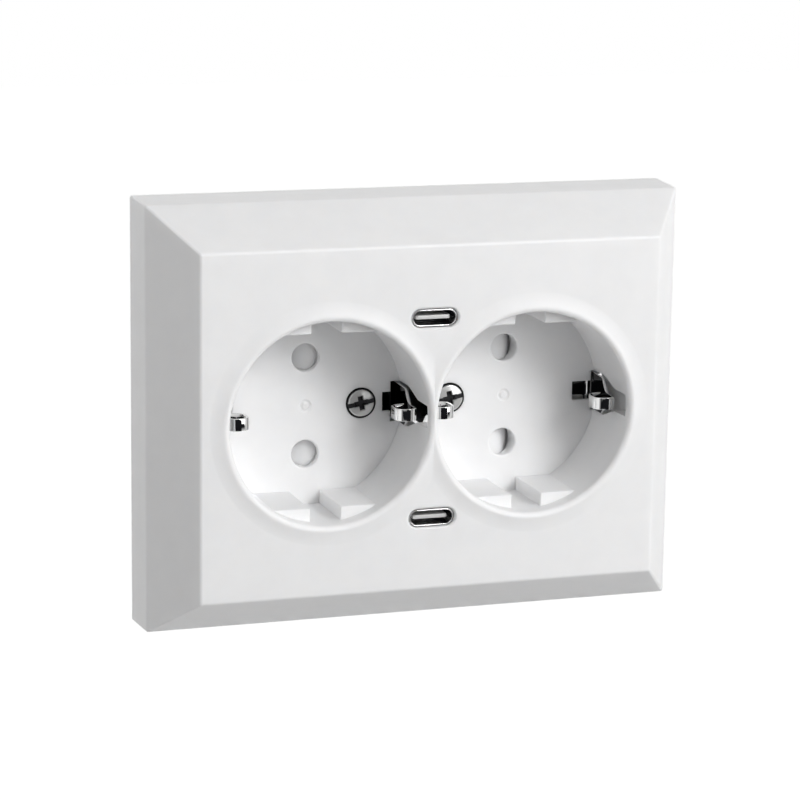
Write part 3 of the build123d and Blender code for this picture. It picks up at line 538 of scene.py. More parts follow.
def bore_outline():
    """The space of a well, with a rounded lip at its mouth and a small round at its foot."""
    past_y = COLLAR_TOP_Y - LIP_ROUND
    lip = arc((WELL_RADIUS + LIP_ROUND, COLLAR_TOP_Y + LIP_ROUND), LIP_ROUND, -pi / 2, -pi)
    foot_centre = (WELL_RADIUS - WELL_FOOT_ROUND, WELL_FLOOR_FRONT - WELL_FOOT_ROUND)
    foot = arc(foot_centre, WELL_FOOT_ROUND, 0, pi / 2, FOOT_STEPS)
    return [(0, past_y), (WELL_RADIUS + LIP_ROUND, past_y)] + lip + foot + [(0, WELL_FLOOR_FRONT)]


def guide_rib(x, side, up):
    """One of the four guide blocks of a well, its free edges rounded."""
    outer = WELL_RADIUS + WELL_WALL / 2
    inner_x = RIB_GAP / 2
    start = asin(RIB_FLAT / outer)
    end = asin(sqrt(outer ** 2 - inner_x ** 2) / outer)
    points = [(inner_x, RIB_FLAT)] + arc((0, 0), outer, start, end)
    outline = [(x + side * u, up * z) for u, z in points]
    front_y = FACE_Y + RIB_SETBACK
    bm = prism_y(outline, front_y, (WELL_FLOOR_FRONT + WELL_FLOOR_BACK) / 2)
    free = []
    for edge in bm.edges:
        off_wall = [abs(hypot(v.co.x - x, v.co.z) - outer) > SAME_PLACE for v in edge.verts]
        on_front = all(abs(v.co.y - front_y) < SAME_PLACE for v in edge.verts)
        along = abs(edge.verts[0].co.y - edge.verts[1].co.y) > SAME_PLACE
        if (on_front and any(off_wall)) or (along and all(off_wall)):
            free.append(edge)
    bmesh.ops.bevel(bm, geom=free, offset=RIB_ROUND, segments=SMALL_EDGE_SEGMENTS,
                    profile=ROUND_PROFILE, affect="EDGES")
    return bm


def pin_hole_outline():
    """A pin hole with its rounded rim."""
    centre = (PIN_HOLE_RADIUS + PIN_HOLE_RIM, WELL_FLOOR_FRONT + PIN_HOLE_RIM)
    rim = arc(centre, PIN_HOLE_RIM, -pi / 2, -pi, RIM_STEPS)
    past_y = WELL_FLOOR_FRONT - PIN_HOLE_RIM
    back_y = PIN_GUARD_END + PIN_HOLE_RIM
    return [(0, past_y), (centre[0], past_y)] + rim + [(PIN_HOLE_RADIUS, back_y), (0, back_y)]


def pin_guard(x, z, to_middle):
    """The half wall behind a pin hole, on its outer side, cut clear of the shutter's rounded ramp."""
    radius = PIN_HOLE_RADIUS + PIN_GUARD_WALL
    half_disc = arc((0, 0), radius, -pi / 2, pi / 2, SMALL_STEPS // 2)
    outline = [(x - to_middle * u, z + v) for u, v in half_disc]
    root_y = (WELL_FLOOR_FRONT + SHUTTER_POCKET_Y) / 2
    guard = from_bmesh("guard", prism_y(outline, root_y, PIN_GUARD_END))
    start_u = shutter_low.x - WELL_X + RAMP_FLAT + SHUTTER_POCKET_GAP
    run = shutter_high.x - shutter_low.x - RAMP_FLAT - RAMP_EDGE
    ramp_radius = (run ** 2 + RAMP_RISE ** 2) / (2 * RAMP_RISE)
    ramp_centre = (start_u, SHUTTER_POCKET_Y + ramp_radius)
    ramp = arc(ramp_centre, ramp_radius, -pi / 2, asin(run / ramp_radius) - pi / 2)
    past_y = SHUTTER_POCKET_Y + RAMP_RISE + PIN_GUARD_WALL
    ramp += [(start_u + run, past_y), (start_u, past_y)]
    ramp = [(x - to_middle * u, y) for u, y in ramp]
    cut(guard, prism_z(ramp, z - 2 * radius, z + 2 * radius))
    return to_bmesh(guard)


def bar(radius, y_front, y_back):
    """The outline of a round bar on a turning axis."""
    return [(0, y_front), (radius, y_front), (radius, y_back), (0, y_back)]


def clip_wall_slot(x_low, x_high):
    """The bottle-shaped slot in a well's side wall that a clip arm springs back into."""
    wide_end = WELL_FLOOR_FRONT - SLOT_WIDE_LENGTH
    taper_end = wide_end - SLOT_TAPER_LENGTH
    top_end = COLLAR_TOP_Y + SLOT_END_GAP
    half = [(WELL_FLOOR_BACK + PIN_HOLE_RIM, SLOT_WIDE / 2), (wide_end, SLOT_WIDE / 2),
            (taper_end, SLOT_TOP_WIDTH / 2), (top_end, SLOT_TOP_WIDTH / 2)]
    return prism_x(half + [(y, -z) for y, z in reversed(half)], x_low, x_high)


def clip_floor_slot(target, x, side, inner, wide_from):
    """A clip's slot in a well floor, narrow and then wide, with the floor thinned behind its edges."""
    front_y = WELL_FLOOR_FRONT - PIN_HOLE_RIM
    past_y = WELL_FLOOR_BACK + PIN_HOLE_RIM
    lip_back_y = WELL_FLOOR_FRONT + SLOT_LIP
    relief = SLOT_WIDE / 2 + SLOT_RELIEF
    rooms = ((inner - SLOT_RELIEF, relief, lip_back_y), (inner, SLOT_NECK / 2, front_y),
             (wide_from, SLOT_WIDE / 2, front_y))
    for start, half, y in rooms:
        low, high = sorted((x + side * start, x + side * WELL_RADIUS))
        cut(target, block((low, y, -half), (high, past_y, half)))


def pin_holes(target, x, to_middle):
    """A well's two pin holes, each with the shutter's pocket and the half wall behind it."""
    past_y = WELL_FLOOR_BACK + PIN_HOLE_RIM
    near = x + to_middle * (WELL_X - shutter_low.x + SHUTTER_TRAVEL + SHUTTER_POCKET_GAP)
    far = x - to_middle * (shutter_high.x - WELL_X + SHUTTER_POCKET_GAP)
    low, high = sorted((near, far))
    half = shutter_high.z - PIN_Z + SHUTTER_POCKET_GAP
    for z in (-PIN_Z, PIN_Z):
        cut(target, block((low, SHUTTER_POCKET_Y, z - half), (high, past_y, z + half)))
        add(target, pin_guard(x, z, to_middle))
        cut(target, lathe(pin_hole_outline(), x, z, SMALL_STEPS))


def gate_outline():
    """The shallow round groove of the gate mark at a well's middle."""
    front_y = WELL_FLOOR_FRONT - PIN_HOLE_RIM
    groove = [(GATE_RADIUS - GATE_WIDTH, front_y), (GATE_RADIUS, front_y)]
    for i in range(ARC_STEPS + 1):
        share = i / ARC_STEPS
        depth = GATE_DEPTH * sin(pi * share)
        groove.append((GATE_RADIUS - GATE_WIDTH * share, WELL_FLOOR_FRONT + depth))
    return groove


def floor_cuts(target, x, to_middle):
    """Pin holes, screw seat, gate mark, room for the strap's screw and clip slots in a well floor."""
    pin_holes(target, x, to_middle)
    front_y = WELL_FLOOR_FRONT - PIN_HOLE_RIM
    past_y = WELL_FLOOR_BACK + PIN_HOLE_RIM
    screw_x = x + to_middle * (WELL_X - SCREW_X)
    cut(target, lathe(bar(SCREW_POCKET_RADIUS, front_y, SCREW_SEAT_Y), screw_x, 0, SMALL_STEPS))
    cut(target, lathe(bar(SCREW_BORE_RADIUS, front_y, past_y), screw_x, 0, SMALL_STEPS))
    cut(target, lathe(gate_outline(), x, 0, SMALL_STEPS))
    head_x = x - to_middle * (STRAP_SCREW_X - WELL_X)
    room = bar(STRAP_SCREW_ROOM_RADIUS, WELL_FLOOR_BACK - STRAP_SCREW_ROOM_DEPTH, past_y)
    cut(target, lathe(room, head_x, 0, SMALL_STEPS))
    clip_floor_slot(target, x, to_middle, SLOT_INNER, SLOT_WIDE_FROM)
    clip_floor_slot(target, x, -to_middle, OUTER_SLOT_INNER, OUTER_SLOT_WIDE_FROM)


def slot_ring(grow, y, z):
    """A ring of points round a USB-C shell's outline, grown by a distance, at a depth."""
    return [(px, y, z + pz) for px, pz in stadium(PORT_WIDTH + 2 * grow, PORT_HEIGHT + 2 * grow)]


def port_cut(z):
    """An opening in the face for a USB-C shell, with a small lead-in."""
    wide = PORT_GAP + PORT_LEAD_IN
    past_y = FACE_Y + COVER_WALL + CUT_PAST
    return loft([slot_ring(wide, FACE_Y - CUT_PAST, z), slot_ring(wide, FACE_Y, z),
                 slot_ring(PORT_GAP, FACE_Y + PORT_LEAD_IN, z), slot_ring(PORT_GAP, past_y, z)])


def inner_ribs():
    """Blocks behind the face: clip pockets, stiffeners from the wells to the skirt, and port guides."""
    ceiling_y = FACE_Y + COVER_WALL / 2
    blocks = []
    half = SLOT_WIDE / 2 + POCKET_WALL
    low = WELL_X + WELL_RADIUS + WELL_WALL / 2
    high = WELL_X + WELL_RADIUS + POCKET_DEPTH + POCKET_WALL
    blocks.append(((low, ceiling_y, -half), (high, WELL_FLOOR_BACK, half)))
    rib_end_y = ceiling_y + STIFFENER_DEPTH
    half = STIFFENER_THICKNESS / 2
    edge_z = cover_high.z - COVER_WALL / 2
    edge_x = cover_high.x - COVER_WALL / 2
    well_edge = WELL_RADIUS + WELL_WALL / 2
    blocks.append(((WELL_X - half, ceiling_y, well_edge), (WELL_X + half, rib_end_y, edge_z)))
    blocks.append(((WELL_X - half, ceiling_y, -edge_z), (WELL_X + half, rib_end_y, -well_edge)))
    blocks.append(((high - POCKET_WALL / 2, ceiling_y, -half), (edge_x, rib_end_y, half)))
    guide_x = board_high.x + PORT_GUIDE_GAP
    guide_low = board_low.z - (board_high.z - board_low.z) / 2
    guide_end_y = ceiling_y + PORT_GUIDE_DEPTH
    for z_low, z_high in ((guide_low, port_high.z), (-port_high.z, -guide_low)):
        blocks.append(((guide_x, ceiling_y, z_low), (guide_x + PORT_GUIDE_WIDTH, guide_end_y, z_high)))
    return blocks


def add_inner_ribs(cover):
    """Joins the inner blocks to the cover on both sides, trimmed so that none stands out of it."""
    for low, high in inner_ribs():
        for sign in (-1, 1):
            x_low, x_high = sorted((sign * low[0], sign * high[0]))
            rib = from_bmesh("rib", block((x_low, *low[1:]), (x_high, *high[1:])))
            combine(rib, frame_solid(COVER_WALL / 2, False, 0), "INTERSECT")
            add(cover, to_bmesh(rib))


def front_cover():
    """The whole cover moulding."""
    cover = from_bmesh("front_cover_moulding", frame_solid(0, True, 0))
    cut(cover, frame_solid(COVER_WALL, False, CUT_PAST))
    add_inner_ribs(cover)
    root_y = FACE_Y + COVER_WALL / 2
    for x in (-WELL_X, WELL_X):
        add(cover, lathe(bar(WELL_RADIUS + WELL_WALL, root_y, WELL_FLOOR_BACK), x, 0))
    for x in (-WELL_X, WELL_X):
        add(cover, lathe(collar_outline(), x, 0))
    for x in (-WELL_X, WELL_X):
        cut(cover, lathe(bore_outline(), x, 0))
        for side in (-1, 1):
            for up in (-1, 1):
                add(cover, guide_rib(x, side, up))
    for x, to_middle in ((-WELL_X, 1), (WELL_X, -1)):
        floor_cuts(cover, x, to_middle)
    inside = sqrt(WELL_RADIUS ** 2 - (SLOT_WIDE / 2) ** 2) - SLOT_MARGIN
    cut(cover, clip_wall_slot(inside - WELL_X, WELL_X - inside))
    cut(cover, clip_wall_slot(WELL_X + inside, WELL_X + WELL_RADIUS + POCKET_DEPTH))
    cut(cover, clip_wall_slot(-WELL_X - WELL_RADIUS - POCKET_DEPTH, -WELL_X - inside))
    for z in (-PORT_Z, PORT_Z):
        cut(cover, port_cut(z))
    return finish_mesh(cover)


# Earth straps
def rounded_path(points, radii):
    """Points along a bent line, each corner turned on its radius, its straights cut in equal steps."""
    corners = [Vector(p) for p in points]
    legs = [[corners[0]]]
    for before, corner, after, radius in zip(corners, corners[1:], corners[2:], radii):
        back = (before - corner).normalized()
        ahead = (after - corner).normalized()
        half_angle = back.angle(ahead) / 2
        reach = radius / tan(half_angle)
        centre = corner + (back + ahead).normalized() * (radius / sin(half_angle))
        start = corner + back * reach
        turn = pi - 2 * half_angle
        side = 1 if back.x * ahead.y - back.y * ahead.x < 0 else -1
        spoke = start - centre
        bend = []
        for i in range(ARC_STEPS + 1):
            angle = side * turn * i / ARC_STEPS
            bend.append(centre + Vector((spoke.x * cos(angle) - spoke.y * sin(angle),
                                         spoke.x * sin(angle) + spoke.y * cos(angle))))
        legs.append(bend)
    legs.append([corners[-1]])
    path = []
    for leg, after in zip(legs, legs[1:]):
        path += leg
        gap = after[0] - leg[-1]
        path += [leg[-1] + gap * i / STRAIGHT_STEPS for i in range(1, STRAIGHT_STEPS)]
    return path + legs[-1]


def clip_path(arm_to_wall, bend_radius):
    """The middle line of one arm as (u, y): behind the floor, up the wall and round the nose."""
    strap_y = WELL_FLOOR_BACK + STRAP_THICKNESS / 2
    head_u = WELL_RADIUS - ARM_TO_WALL - ARM_LEAN
    tip_u = WELL_RADIUS - NOSE_REACH
    nose_y = FACE_Y + NOSE_SETBACK
    tip_y = nose_y + NOSE_DROP
    foot_y = tip_y + NOSE_LENGTH
    points = [(0, strap_y), (WELL_RADIUS - arm_to_wall, strap_y), (head_u, nose_y), (tip_u, tip_y),
              (tip_u, foot_y), (tip_u + NOSE_TAIL_LENGTH, foot_y + NOSE_TAIL_DROP)]
    radii = [bend_radius, NOSE_BEND_RADIUS, NOSE_BEND_RADIUS, NOSE_BEND_RADIUS]
    return rounded_path(points, radii)


def clip_widths(path):
    """Half the strip's width at each point of an arm: wide, then a soft taper, then the nose."""
    arm_y = WELL_FLOOR_FRONT - ARM_WIDE_LENGTH
    taper_y = arm_y - ARM_TAPER_LENGTH
    foremost = min(range(len(path)), key=lambda i: path[i].y)
    widths = []
    for i, point in enumerate(path):
        share = 1.0
        if i < foremost:
            share = min(1, max(0, (arm_y - point.y) / (arm_y - taper_y)))
        share = share * share * (3 - 2 * share)
        widths.append((STRAP_WIDTH + (NOSE_WIDTH - STRAP_WIDTH) * share) / 2)
    return widths


def earth_strap(name, side):
    """One bent strip with a clip arm at each end of a well; side is -1 for the left-hand well."""
    inner = clip_path(ARM_TO_WALL, STRAP_BEND_RADIUS)
    outer = clip_path(OUTER_ARM_TO_WALL, OUTER_ARM_BEND_RADIUS)
    path = [Vector((-p.x, p.y)) for p in reversed(inner[1:])] + outer
    half_widths = list(reversed(clip_widths(inner)[1:])) + clip_widths(outer)
    half = STRAP_THICKNESS / 2
    ease = STRAP_EDGE_ROUND
    rings = []
    for i, (point, wide) in enumerate(zip(path, half_widths)):
        along = (path[min(i + 1, len(path) - 1)] - path[max(i - 1, 0)]).normalized()
        across = Vector((-along.y, along.x))
        corners = [(half - ease, wide), (half, wide - ease), (half, ease - wide), (half - ease, -wide),
                   (ease - half, -wide), (-half, ease - wide), (-half, wide - ease), (ease - half, wide)]
        ring = []
        for out, z in corners:
            place = point + across * out
            ring.append((side * (WELL_X + place.x), place.y, z))
        rings.append(ring)
    strap = from_bmesh(name, loft(rings))
    for hole_x, radius in ((SCREW_X, STRAP_HOLE_RADIUS), (STRAP_SCREW_X, STRAP_SCREW_RADIUS)):
        cut(strap, lathe(bar(radius, WELL_FLOOR_BACK - CUT_PAST, 0), side * hole_x, 0, SMALL_STEPS))
    return finish_mesh(strap, STRIP_SMOOTH_ANGLE)


# Cover screws
def screw_outline(tip_y):
    """Half the section of a pan head screw."""
    front_y = SCREW_SEAT_Y - SCREW_HEAD_HEIGHT
    flat = SCREW_HEAD_RADIUS - SCREW_HEAD_ROUND
    crown = []
    for i in range(ARC_STEPS):
        share = i / ARC_STEPS
        crown.append((flat * share, front_y + SCREW_HEAD_CROWN * share * share))
    edge = arc((flat, front_y + SCREW_HEAD_CROWN + SCREW_HEAD_ROUND), SCREW_HEAD_ROUND, -pi / 2, 0)
    return crown + edge + [(SCREW_HEAD_RADIUS, SCREW_SEAT_Y), (SCREW_RADIUS, SCREW_SEAT_Y),
                           (SCREW_RADIUS, tip_y), (0, tip_y)]


def turned_block(x, turn, half_length, half_width, y_front, y_back, narrowing):
    """A block along a line turned about a screw's axis, smaller at its back by a share."""
    rings = []
    for y, size in ((y_front, 1), (y_back, narrowing)):
        u = half_length * size
        v = half_width * size
        ring = []
        for a, b in ((-u, -v), (u, -v), (u, v), (-u, v)):
            ring.append((x + a * cos(turn) - b * sin(turn), y, a * sin(turn) + b * cos(turn)))
        rings.append(ring)
    return loft(rings)


def cover_screw(name, x, turn):
    """A pan head screw with a slot and a cross in its head."""
    front_y = SCREW_SEAT_Y - SCREW_HEAD_HEIGHT
    tip_y = node_box("cover_screws")[1].y
    screw = from_bmesh(name, lathe(screw_outline(tip_y), x, 0, SMALL_STEPS))
    cut(screw, turned_block(x, turn, 2 * SCREW_HEAD_RADIUS, SCREW_SLOT_WIDTH / 2, front_y - CUT_PAST,
                            front_y + SCREW_SLOT_DEPTH, 1))
    for quarter in (0, pi / 2):
        cut(screw, turned_block(x, turn + quarter, SCREW_CROSS_LENGTH / 2 + SCREW_CROSS_FLARE,
                                SCREW_CROSS_WIDTH / 2 + SCREW_CROSS_FLARE, front_y - SCREW_CROSS_FLARE,
                                front_y + SCREW_CROSS_DEPTH, SCREW_CROSS_TAPER))
    return finish_mesh(screw)


# USB-C receptacles
def port_shell(name, up):
    """The drawn steel shell, its front edge rolled round."""
    z = up * PORT_Z
    half = PORT_WALL / 2
    rings = [slot_ring(0, port_high.y, z)]
    for out, y in arc((-half, port_low.y + half), half, 0, -pi, PORT_LIP_STEPS):
        rings.append(slot_ring(out, y, z))
    rings.append(slot_ring(-PORT_WALL, port_high.y, z))
    return finish_mesh(from_bmesh(name, loft(rings, closed=True)), STRIP_SMOOTH_ANGLE)


def tongue_outline(half, front_y, back_y):
    """A tongue's outline as (x, y), its two front corners cut off."""
    return [(-half, back_y), (-half, front_y + TONGUE_CORNER), (-half + TONGUE_CORNER, front_y),
            (half - TONGUE_CORNER, front_y), (half, front_y + TONGUE_CORNER), (half, back_y)]


def port_tongue(name, up):
    """The contact tongue and the block that holds it in the back of the shell."""
    z = up * PORT_Z
    block_y = port_high.y - TONGUE_BLOCK_DEPTH
    inset = -PORT_WALL - TONGUE_FIT
    tongue = from_bmesh(name, loft([slot_ring(inset, block_y, z), slot_ring(inset, port_high.y, z)]))
    front_y = port_low.y + TONGUE_SETBACK
    outline = tongue_outline(TONGUE_WIDTH / 2, front_y, block_y + TONGUE_FIT)
    thick = TONGUE_THICKNESS / 2
    add(tongue, prism_z(outline, z - thick, z + thick))
    return finish_mesh(tongue)


def tongue_sleeve(name, up):
    """The plated steel that wraps a tongue, eased at its edges."""
    z = up * PORT_Z
    front_y = port_low.y + TONGUE_SETBACK - SLEEVE_PROUD
    back_y = port_high.y - TONGUE_BLOCK_DEPTH
    thick = TONGUE_THICKNESS / 2 + SLEEVE_PROUD
    outline = tongue_outline(TONGUE_WIDTH / 2 + SLEEVE_PROUD, front_y, back_y)
    bm = prism_z(outline, z - thick, z + thick)
    rims = [e for e in bm.edges if abs(e.verts[0].co.z - e.verts[1].co.z) < SAME_PLACE]
    bmesh.ops.bevel(bm, geom=rims, offset=SLEEVE_ROUND, segments=SMALL_EDGE_SEGMENTS,
                    profile=ROUND_PROFILE, affect="EDGES")
    return finish_mesh(from_bmesh(name, bm))


# Shutter springs
def shutter_spring(name, node):
    """A round-wire coil in a spring's place, from the carrier's post to the shutter."""
    low, high = node_box(node)
    wire = SPRING_WIRE / 2
    radius = (high.z - low.z) / 2 - wire
    middle_y = (low.y + high.y) / 2
    length = high.x - low.x - 2 * wire
    axis = Vector((1, 0, 0))
    sides = [2 * pi * k / SPRING_SIDES for k in range(SPRING_SIDES)]
    rings = []
    for i in range(SPRING_TURNS * SPRING_STEPS + 1):
        share = i / (SPRING_TURNS * SPRING_STEPS)
        angle = 2 * pi * SPRING_TURNS * share
        spoke = Vector((0, cos(angle), sin(angle)))
        centre = Vector((low.x + wire + length * share, middle_y, 0)) + spoke * radius
        rings.append([centre + wire * (cos(a) * spoke + sin(a) * axis) for a in sides])
    return finish_mesh(from_bmesh(name, loft(rings)), WIRE_SMOOTH_ANGLE)


# Materials
def material(name):
    """A new node material, with its tree and its main shader."""
    made = bpy.data.materials.new(name)
    made.use_nodes = True
    tree = made.node_tree
    return made, tree, tree.nodes["Principled BSDF"]


def tint_ramp(tree, factor, places, colours):
    """A colour that goes from one to another as a factor goes from place to place."""
    node = tree.nodes.new("ShaderNodeValToRGB")
    for stop, place, colour in zip(node.color_ramp.elements, places, colours):
        stop.position = place
        stop.color = colour
    tree.links.new(factor, node.inputs["Fac"])
    return node.outputs["Color"]


def noise(tree, place, scale, detail):
    """Soft noise at a place, from 0 to 1."""
    node = tree.nodes.new("ShaderNodeTexNoise")
    node.inputs["Scale"].default_value = scale
    node.inputs["Detail"].default_value = detail
    tree.links.new(place, node.inputs["Vector"])
    return node.outputs["Fac"]


def textured(name, dark, light, metallic, rough_low, rough_high, grain, grain_depth):
    """A procedural surface: two near colours over soft noise, a varied roughness and a fine relief."""
    made, tree, shader = material(name)
    links = tree.links
    place = tree.nodes.new("ShaderNodeTexCoord").outputs["Object"]
    broad = noise(tree, place, grain / TINT_BREADTH, TINT_DETAIL)
    tint = tint_ramp(tree, broad, TINT_STOPS, ((*dark, 1), (*light, 1)))
    links.new(tint, shader.inputs["Base Color"])
    fine = noise(tree, place, grain, RELIEF_DETAIL)
    rough = tree.nodes.new("ShaderNodeMapRange")
    rough.inputs["To Min"].default_value = rough_low
    rough.inputs["To Max"].default_value = rough_high
    links.new(fine, rough.inputs["Value"])
    links.new(rough.outputs["Result"], shader.inputs["Roughness"])
    relief = tree.nodes.new("ShaderNodeBump")
    relief.inputs["Strength"].default_value = RELIEF_STRENGTH
    relief.inputs["Distance"].default_value = grain_depth
    links.new(fine, relief.inputs["Height"])
    links.new(relief.outputs["Normal"], shader.inputs["Normal"])
    shader.inputs["Metallic"].default_value = metallic
    shader.inputs["Subsurface Weight"].default_value = TRANSLUCENT.get(name, 0)
    shader.inputs["Subsurface Radius"].default_value = SCATTER_TINT
    shader.inputs["Subsurface Scale"].default_value = SCATTER_DEPTH
    return made


def calc(tree, operation, first, second=0.0):
    """A math node's result; each side is a socket or a number."""
    node = tree.nodes.new("ShaderNodeMath")
    node.operation = operation
    for side, value in enumerate((first, second)):
        if isinstance(value, bpy.types.NodeSocket):
            tree.links.new(value, node.inputs[side])
        else:
            node.inputs[side].default_value = value
    return node.outputs["Value"]


def split(tree, vector):
    """The three parts of a vector socket."""
    node = tree.nodes.new("ShaderNodeSeparateXYZ")
    tree.links.new(vector, node.inputs["Vector"])
    return node.outputs


def place_parts(tree):
    """A point's X, Y and Z in the CAD frame, in millimetres."""
    place = tree.nodes.new("ShaderNodeTexCoord")
    return [calc(tree, "DIVIDE", part, MM) for part in split(tree, place.outputs["Object"])]


def paint_shade(made, share, tone=PAINTED_SHADE_TONE):
    """Paints shade into a material's colour: mixes a dark tone in by a share from 0 to 1."""
    tree = made.node_tree
    colour = tree.nodes["Principled BSDF"].inputs["Base Color"]
    mix = tree.nodes.new("ShaderNodeMix")
    mix.data_type = "RGBA"
    tree.links.new(share, mix.inputs[MIX_FACTOR])
    tree.links.new(colour.links[0].from_socket, mix.inputs[MIX_FIRST])
    mix.inputs[MIX_SECOND].default_value = tone
    tree.links.new(mix.outputs[MIX_RESULT], colour)


def paint_clip_shade(made):
    """Paints shade on the clip arms' flat faces, apart from the outer arms' backs, and on the inner arms'
    bends.
    """
    tree = made.node_tree
    x, y = place_parts(tree)[:2]
    across = split(tree, tree.nodes.new("ShaderNodeNewGeometry").outputs["Normal"])["X"]
    flat = calc(tree, "GREATER_THAN", calc(tree, "ABSOLUTE", across), ARM_SHADE_TURN)
    from_middle = calc(tree, "ABSOLUTE", x)
    off_axis = calc(tree, "ABSOLUTE", calc(tree, "SUBTRACT", from_middle, WELL_X))
    arm = calc(tree, "MULTIPLY", flat, calc(tree, "GREATER_THAN", off_axis, ARM_SHADE_FROM))
    not_outer_back = calc(tree, "LESS_THAN", calc(tree, "MULTIPLY", x, across), WELL_X)
    face = calc(tree, "MULTIPLY", arm, not_outer_back)
    inner = calc(tree, "LESS_THAN", from_middle, WELL_X)
    bend = calc(tree, "MULTIPLY", inner, calc(tree, "GREATER_THAN", y, BEND_SHADE_Y))
    paint_shade(made, calc(tree, "MAXIMUM", face, bend))


def paint_screw_shade(made):
    """Paints shade into the slot, the cross and the side of the cover screws' heads."""
    tree = made.node_tree
    y = place_parts(tree)[1]
    fade = tree.nodes.new("ShaderNodeMapRange")
    fade.inputs["From Min"].default_value, fade.inputs["From Max"].default_value = RECESS_SHADE_FADE_Y
    tree.links.new(y, fade.inputs["Value"])
    paint_shade(made, fade.outputs["Result"], PAINTED_RECESS_SHADE)


def paint_seat_shade(made):
    """Paints shade on the narrow ring round each cover screw's head, deep in its seat."""
    tree = made.node_tree
    x, y, z = place_parts(tree)
    across = calc(tree, "SUBTRACT", calc(tree, "ABSOLUTE", x), SCREW_X)
    squares = calc(tree, "ADD", calc(tree, "MULTIPLY", across, across), calc(tree, "MULTIPLY", z, z))
    near = calc(tree, "LESS_THAN", calc(tree, "SQRT", squares), SCREW_POCKET_RADIUS + SEAT_SHADE_EDGE)
    deep = calc(tree, "GREATER_THAN", y, WELL_FLOOR_FRONT + SEAT_SHADE_EDGE)
    paint_shade(made, calc(tree, "MULTIPLY", near, deep))


def make_materials():
    """Every finish's material by its name."""
    finishes = {name: textured(name, *values) for name, values in FINISHES.items()}
    # Painted shade on the clip arms and inner bends, in the screw heads' recesses and round the screw
    # seats
    paint_clip_shade(finishes["clip_nickel"])
    paint_screw_shade(finishes["screw_steel"])
    paint_seat_shade(finishes["cover_plastic"])
    return finishes


# Stage: the camera, and a white room with soft lights round the socket
def camera():
    """The photograph's camera."""
    forward = Vector((sin(CAMERA_YAW) * cos(CAMERA_PITCH), cos(CAMERA_YAW) * cos(CAMERA_PITCH),
                      sin(CAMERA_PITCH)))
    level = Vector((cos(CAMERA_YAW), -sin(CAMERA_YAW), 0))
    upright = level.cross(forward)
    right = cos(CAMERA_ROLL) * level + sin(CAMERA_ROLL) * upright
    up = -sin(CAMERA_ROLL) * level + cos(CAMERA_ROLL) * upright
    data = bpy.data.cameras.new("camera")
    data.lens = CAMERA_LENS
    data.sensor_width = CAMERA_SENSOR
    obj = new_object("camera", data)
    turn = Matrix((right, up, -forward)).transposed().to_4x4()
    obj.matrix_world = Matrix.Translation(Vector(CAMERA_PLACE) * MM) @ turn
    bpy.context.scene.camera = obj


def soft_light(name, place, target, size, power, mirrored):
    """A large area light that faces a point, and that metal mirrors or not."""
    data = bpy.data.lights.new(name, "AREA")
    data.shape = "SQUARE"
    data.size = size
    data.energy = power
    obj = new_object(name, data)
    obj.location = place
    aim = Vector(target) - Vector(place)
    obj.rotation_euler = aim.to_track_quat("-Z", "Y").to_euler()
    obj.visible_glossy = mirrored


def world():
    """Even fill light; the camera sees plain white, and metal sees a room that is dark in front."""
    made = bpy.data.worlds.new("room")
    bpy.context.scene.world = made
    made.use_nodes = True
    tree = made.node_tree
    nodes = tree.nodes
    links = tree.links
    nodes.clear()
    out = nodes.new("ShaderNodeOutputWorld")
    fill = nodes.new("ShaderNodeBackground")
    fill.inputs["Strength"].default_value = FILL_STRENGTH
    mirrored = nodes.new("ShaderNodeBackground")
    white = nodes.new("ShaderNodeBackground")
    white.inputs["Color"].default_value = WHITE
    place = nodes.new("ShaderNodeTexCoord")
    toward = nodes.new("ShaderNodeVectorMath")
    toward.operation = "DOT_PRODUCT"
    toward.inputs[1].default_value = DARK_SIDE
    links.new(place.outputs["Generated"], toward.inputs[0])
    shade = tint_ramp(tree, toward.outputs["Value"], DARK_FADE, (WHITE, DARK_ROOM))
    links.new(shade, mirrored.inputs["Color"])
    rays = nodes.new("ShaderNodeLightPath").outputs
    seen = calc(tree, "MAXIMUM", rays["Is Camera Ray"], rays["Is Transmission Ray"])
    metal = nodes.new("ShaderNodeMixShader")
    links.new(rays["Is Glossy Ray"], metal.inputs["Fac"])
    links.new(fill.outputs["Background"], metal.inputs[1])
    links.new(mirrored.outputs["Background"], metal.inputs[2])
    mix = nodes.new("ShaderNodeMixShader")
    links.new(seen, mix.inputs["Fac"])
    links.new(metal.outputs["Shader"], mix.inputs[1])
    links.new(white.outputs["Background"], mix.inputs[2])
    links.new(mix.outputs["Shader"], out.inputs["Surface"])


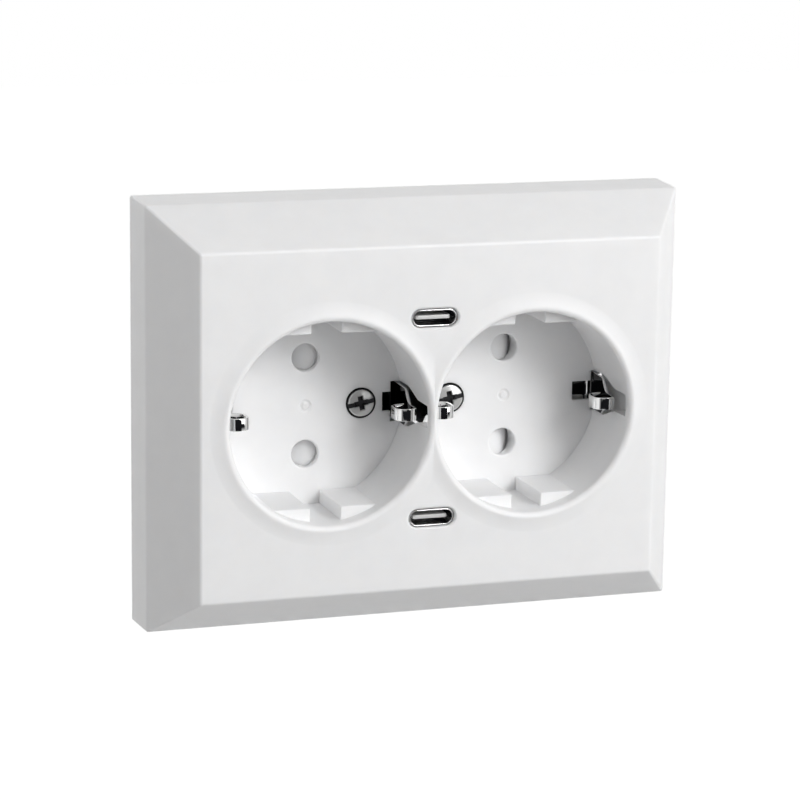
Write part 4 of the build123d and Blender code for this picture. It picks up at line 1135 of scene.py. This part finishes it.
def floor():
    """A pale floor well below the socket; it keeps its shadow and reads as white to the camera."""
    bm = bmesh.new()
    bmesh.ops.create_grid(bm, x_segments=1, y_segments=1, size=FLOOR_HALF_SIZE)
    obj = from_bmesh("floor", bm)
    obj.location = (0, 0, FLOOR_Z)
    made, tree, shader = material("floor_paper")
    nodes = tree.nodes
    grain = nodes.new("ShaderNodeTexNoise")
    grain.inputs["Scale"].default_value = FLOOR_GRAIN
    tint = tint_ramp(tree, grain.outputs["Fac"], (0, 1), FLOOR_TINTS)
    tree.links.new(tint, shader.inputs["Base Color"])
    shader.inputs["Roughness"].default_value = FLOOR_ROUGHNESS
    shader.inputs["Emission Color"].default_value = WHITE
    seen = nodes.new("ShaderNodeLightPath").outputs["Is Camera Ray"]
    tree.links.new(calc(tree, "MULTIPLY", seen, FLOOR_GLOW), shader.inputs["Emission Strength"])
    obj.data.materials.append(made)
    obj.visible_glossy = False


def stage_set():
    """The camera, the room and its lights."""
    camera()
    world()
    floor()
    for name, azimuth, elevation, size, power, mirrored in LIGHTS:
        turn = radians(azimuth)
        rise = radians(elevation)
        place = Vector((sin(turn) * cos(rise), -cos(turn) * cos(rise), sin(rise))) * LIGHT_DISTANCE
        soft_light(name, place, (0, 0, 0), size, power, mirrored)
    bpy.context.scene.view_settings.view_transform = "Standard"


def main():
    """Dresses the CAD nodes, builds the pieces that stand for some of them, and sets the stage."""
    finishes = make_materials()
    slots = {row["node"]: row["material_slot"] for row in frame["record"]["subparts"]}
    for node, obj in frame["nodes"].items():
        obj.data.materials.clear()
        obj.data.materials.append(finishes[slots[node]])
        obj.data.shade_smooth()
        obj.data.set_sharp_from_angle(angle=SMOOTH_ANGLE)
    dress(front_cover(), finishes["cover_plastic"], SOCKET, "cover_plastic", "front_cover")
    for name, sign in (("left", -1), ("right", 1)):
        strap = earth_strap(f"earth_clips_{name}", sign)
        dress(strap, finishes["clip_nickel"], SOCKET, "clip_nickel", f"earth_strap_{name}")
        screw = cover_screw(f"cover_screw_{name}", sign * SCREW_X, SCREW_TURN)
        dress(screw, finishes["screw_steel"], SOCKET, "screw_steel", "cover_screws")
        spring = shutter_spring(f"coil_spring_{name}", f"shutter_spring_{name}")
        dress(spring, finishes["spring_steel"], SOCKET, "spring_steel", f"shutter_spring_{name}")
        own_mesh(spring)
    for name, up in (("upper", 1), ("lower", -1)):
        shell = port_shell(f"port_shell_{name}", up)
        dress(shell, finishes["port_steel"], SOCKET, "port_steel", f"usb_shell_{name}")
        tongue = port_tongue(f"port_tongue_{name}", up)
        dress(tongue, finishes["tongue_plastic"], SOCKET, "tongue_plastic", f"usb_tongue_{name}")
        dress(tongue_sleeve(f"tongue_sleeve_{name}", up), finishes["sleeve_steel"], SOCKET, "port_steel")
    stage_set()


main()
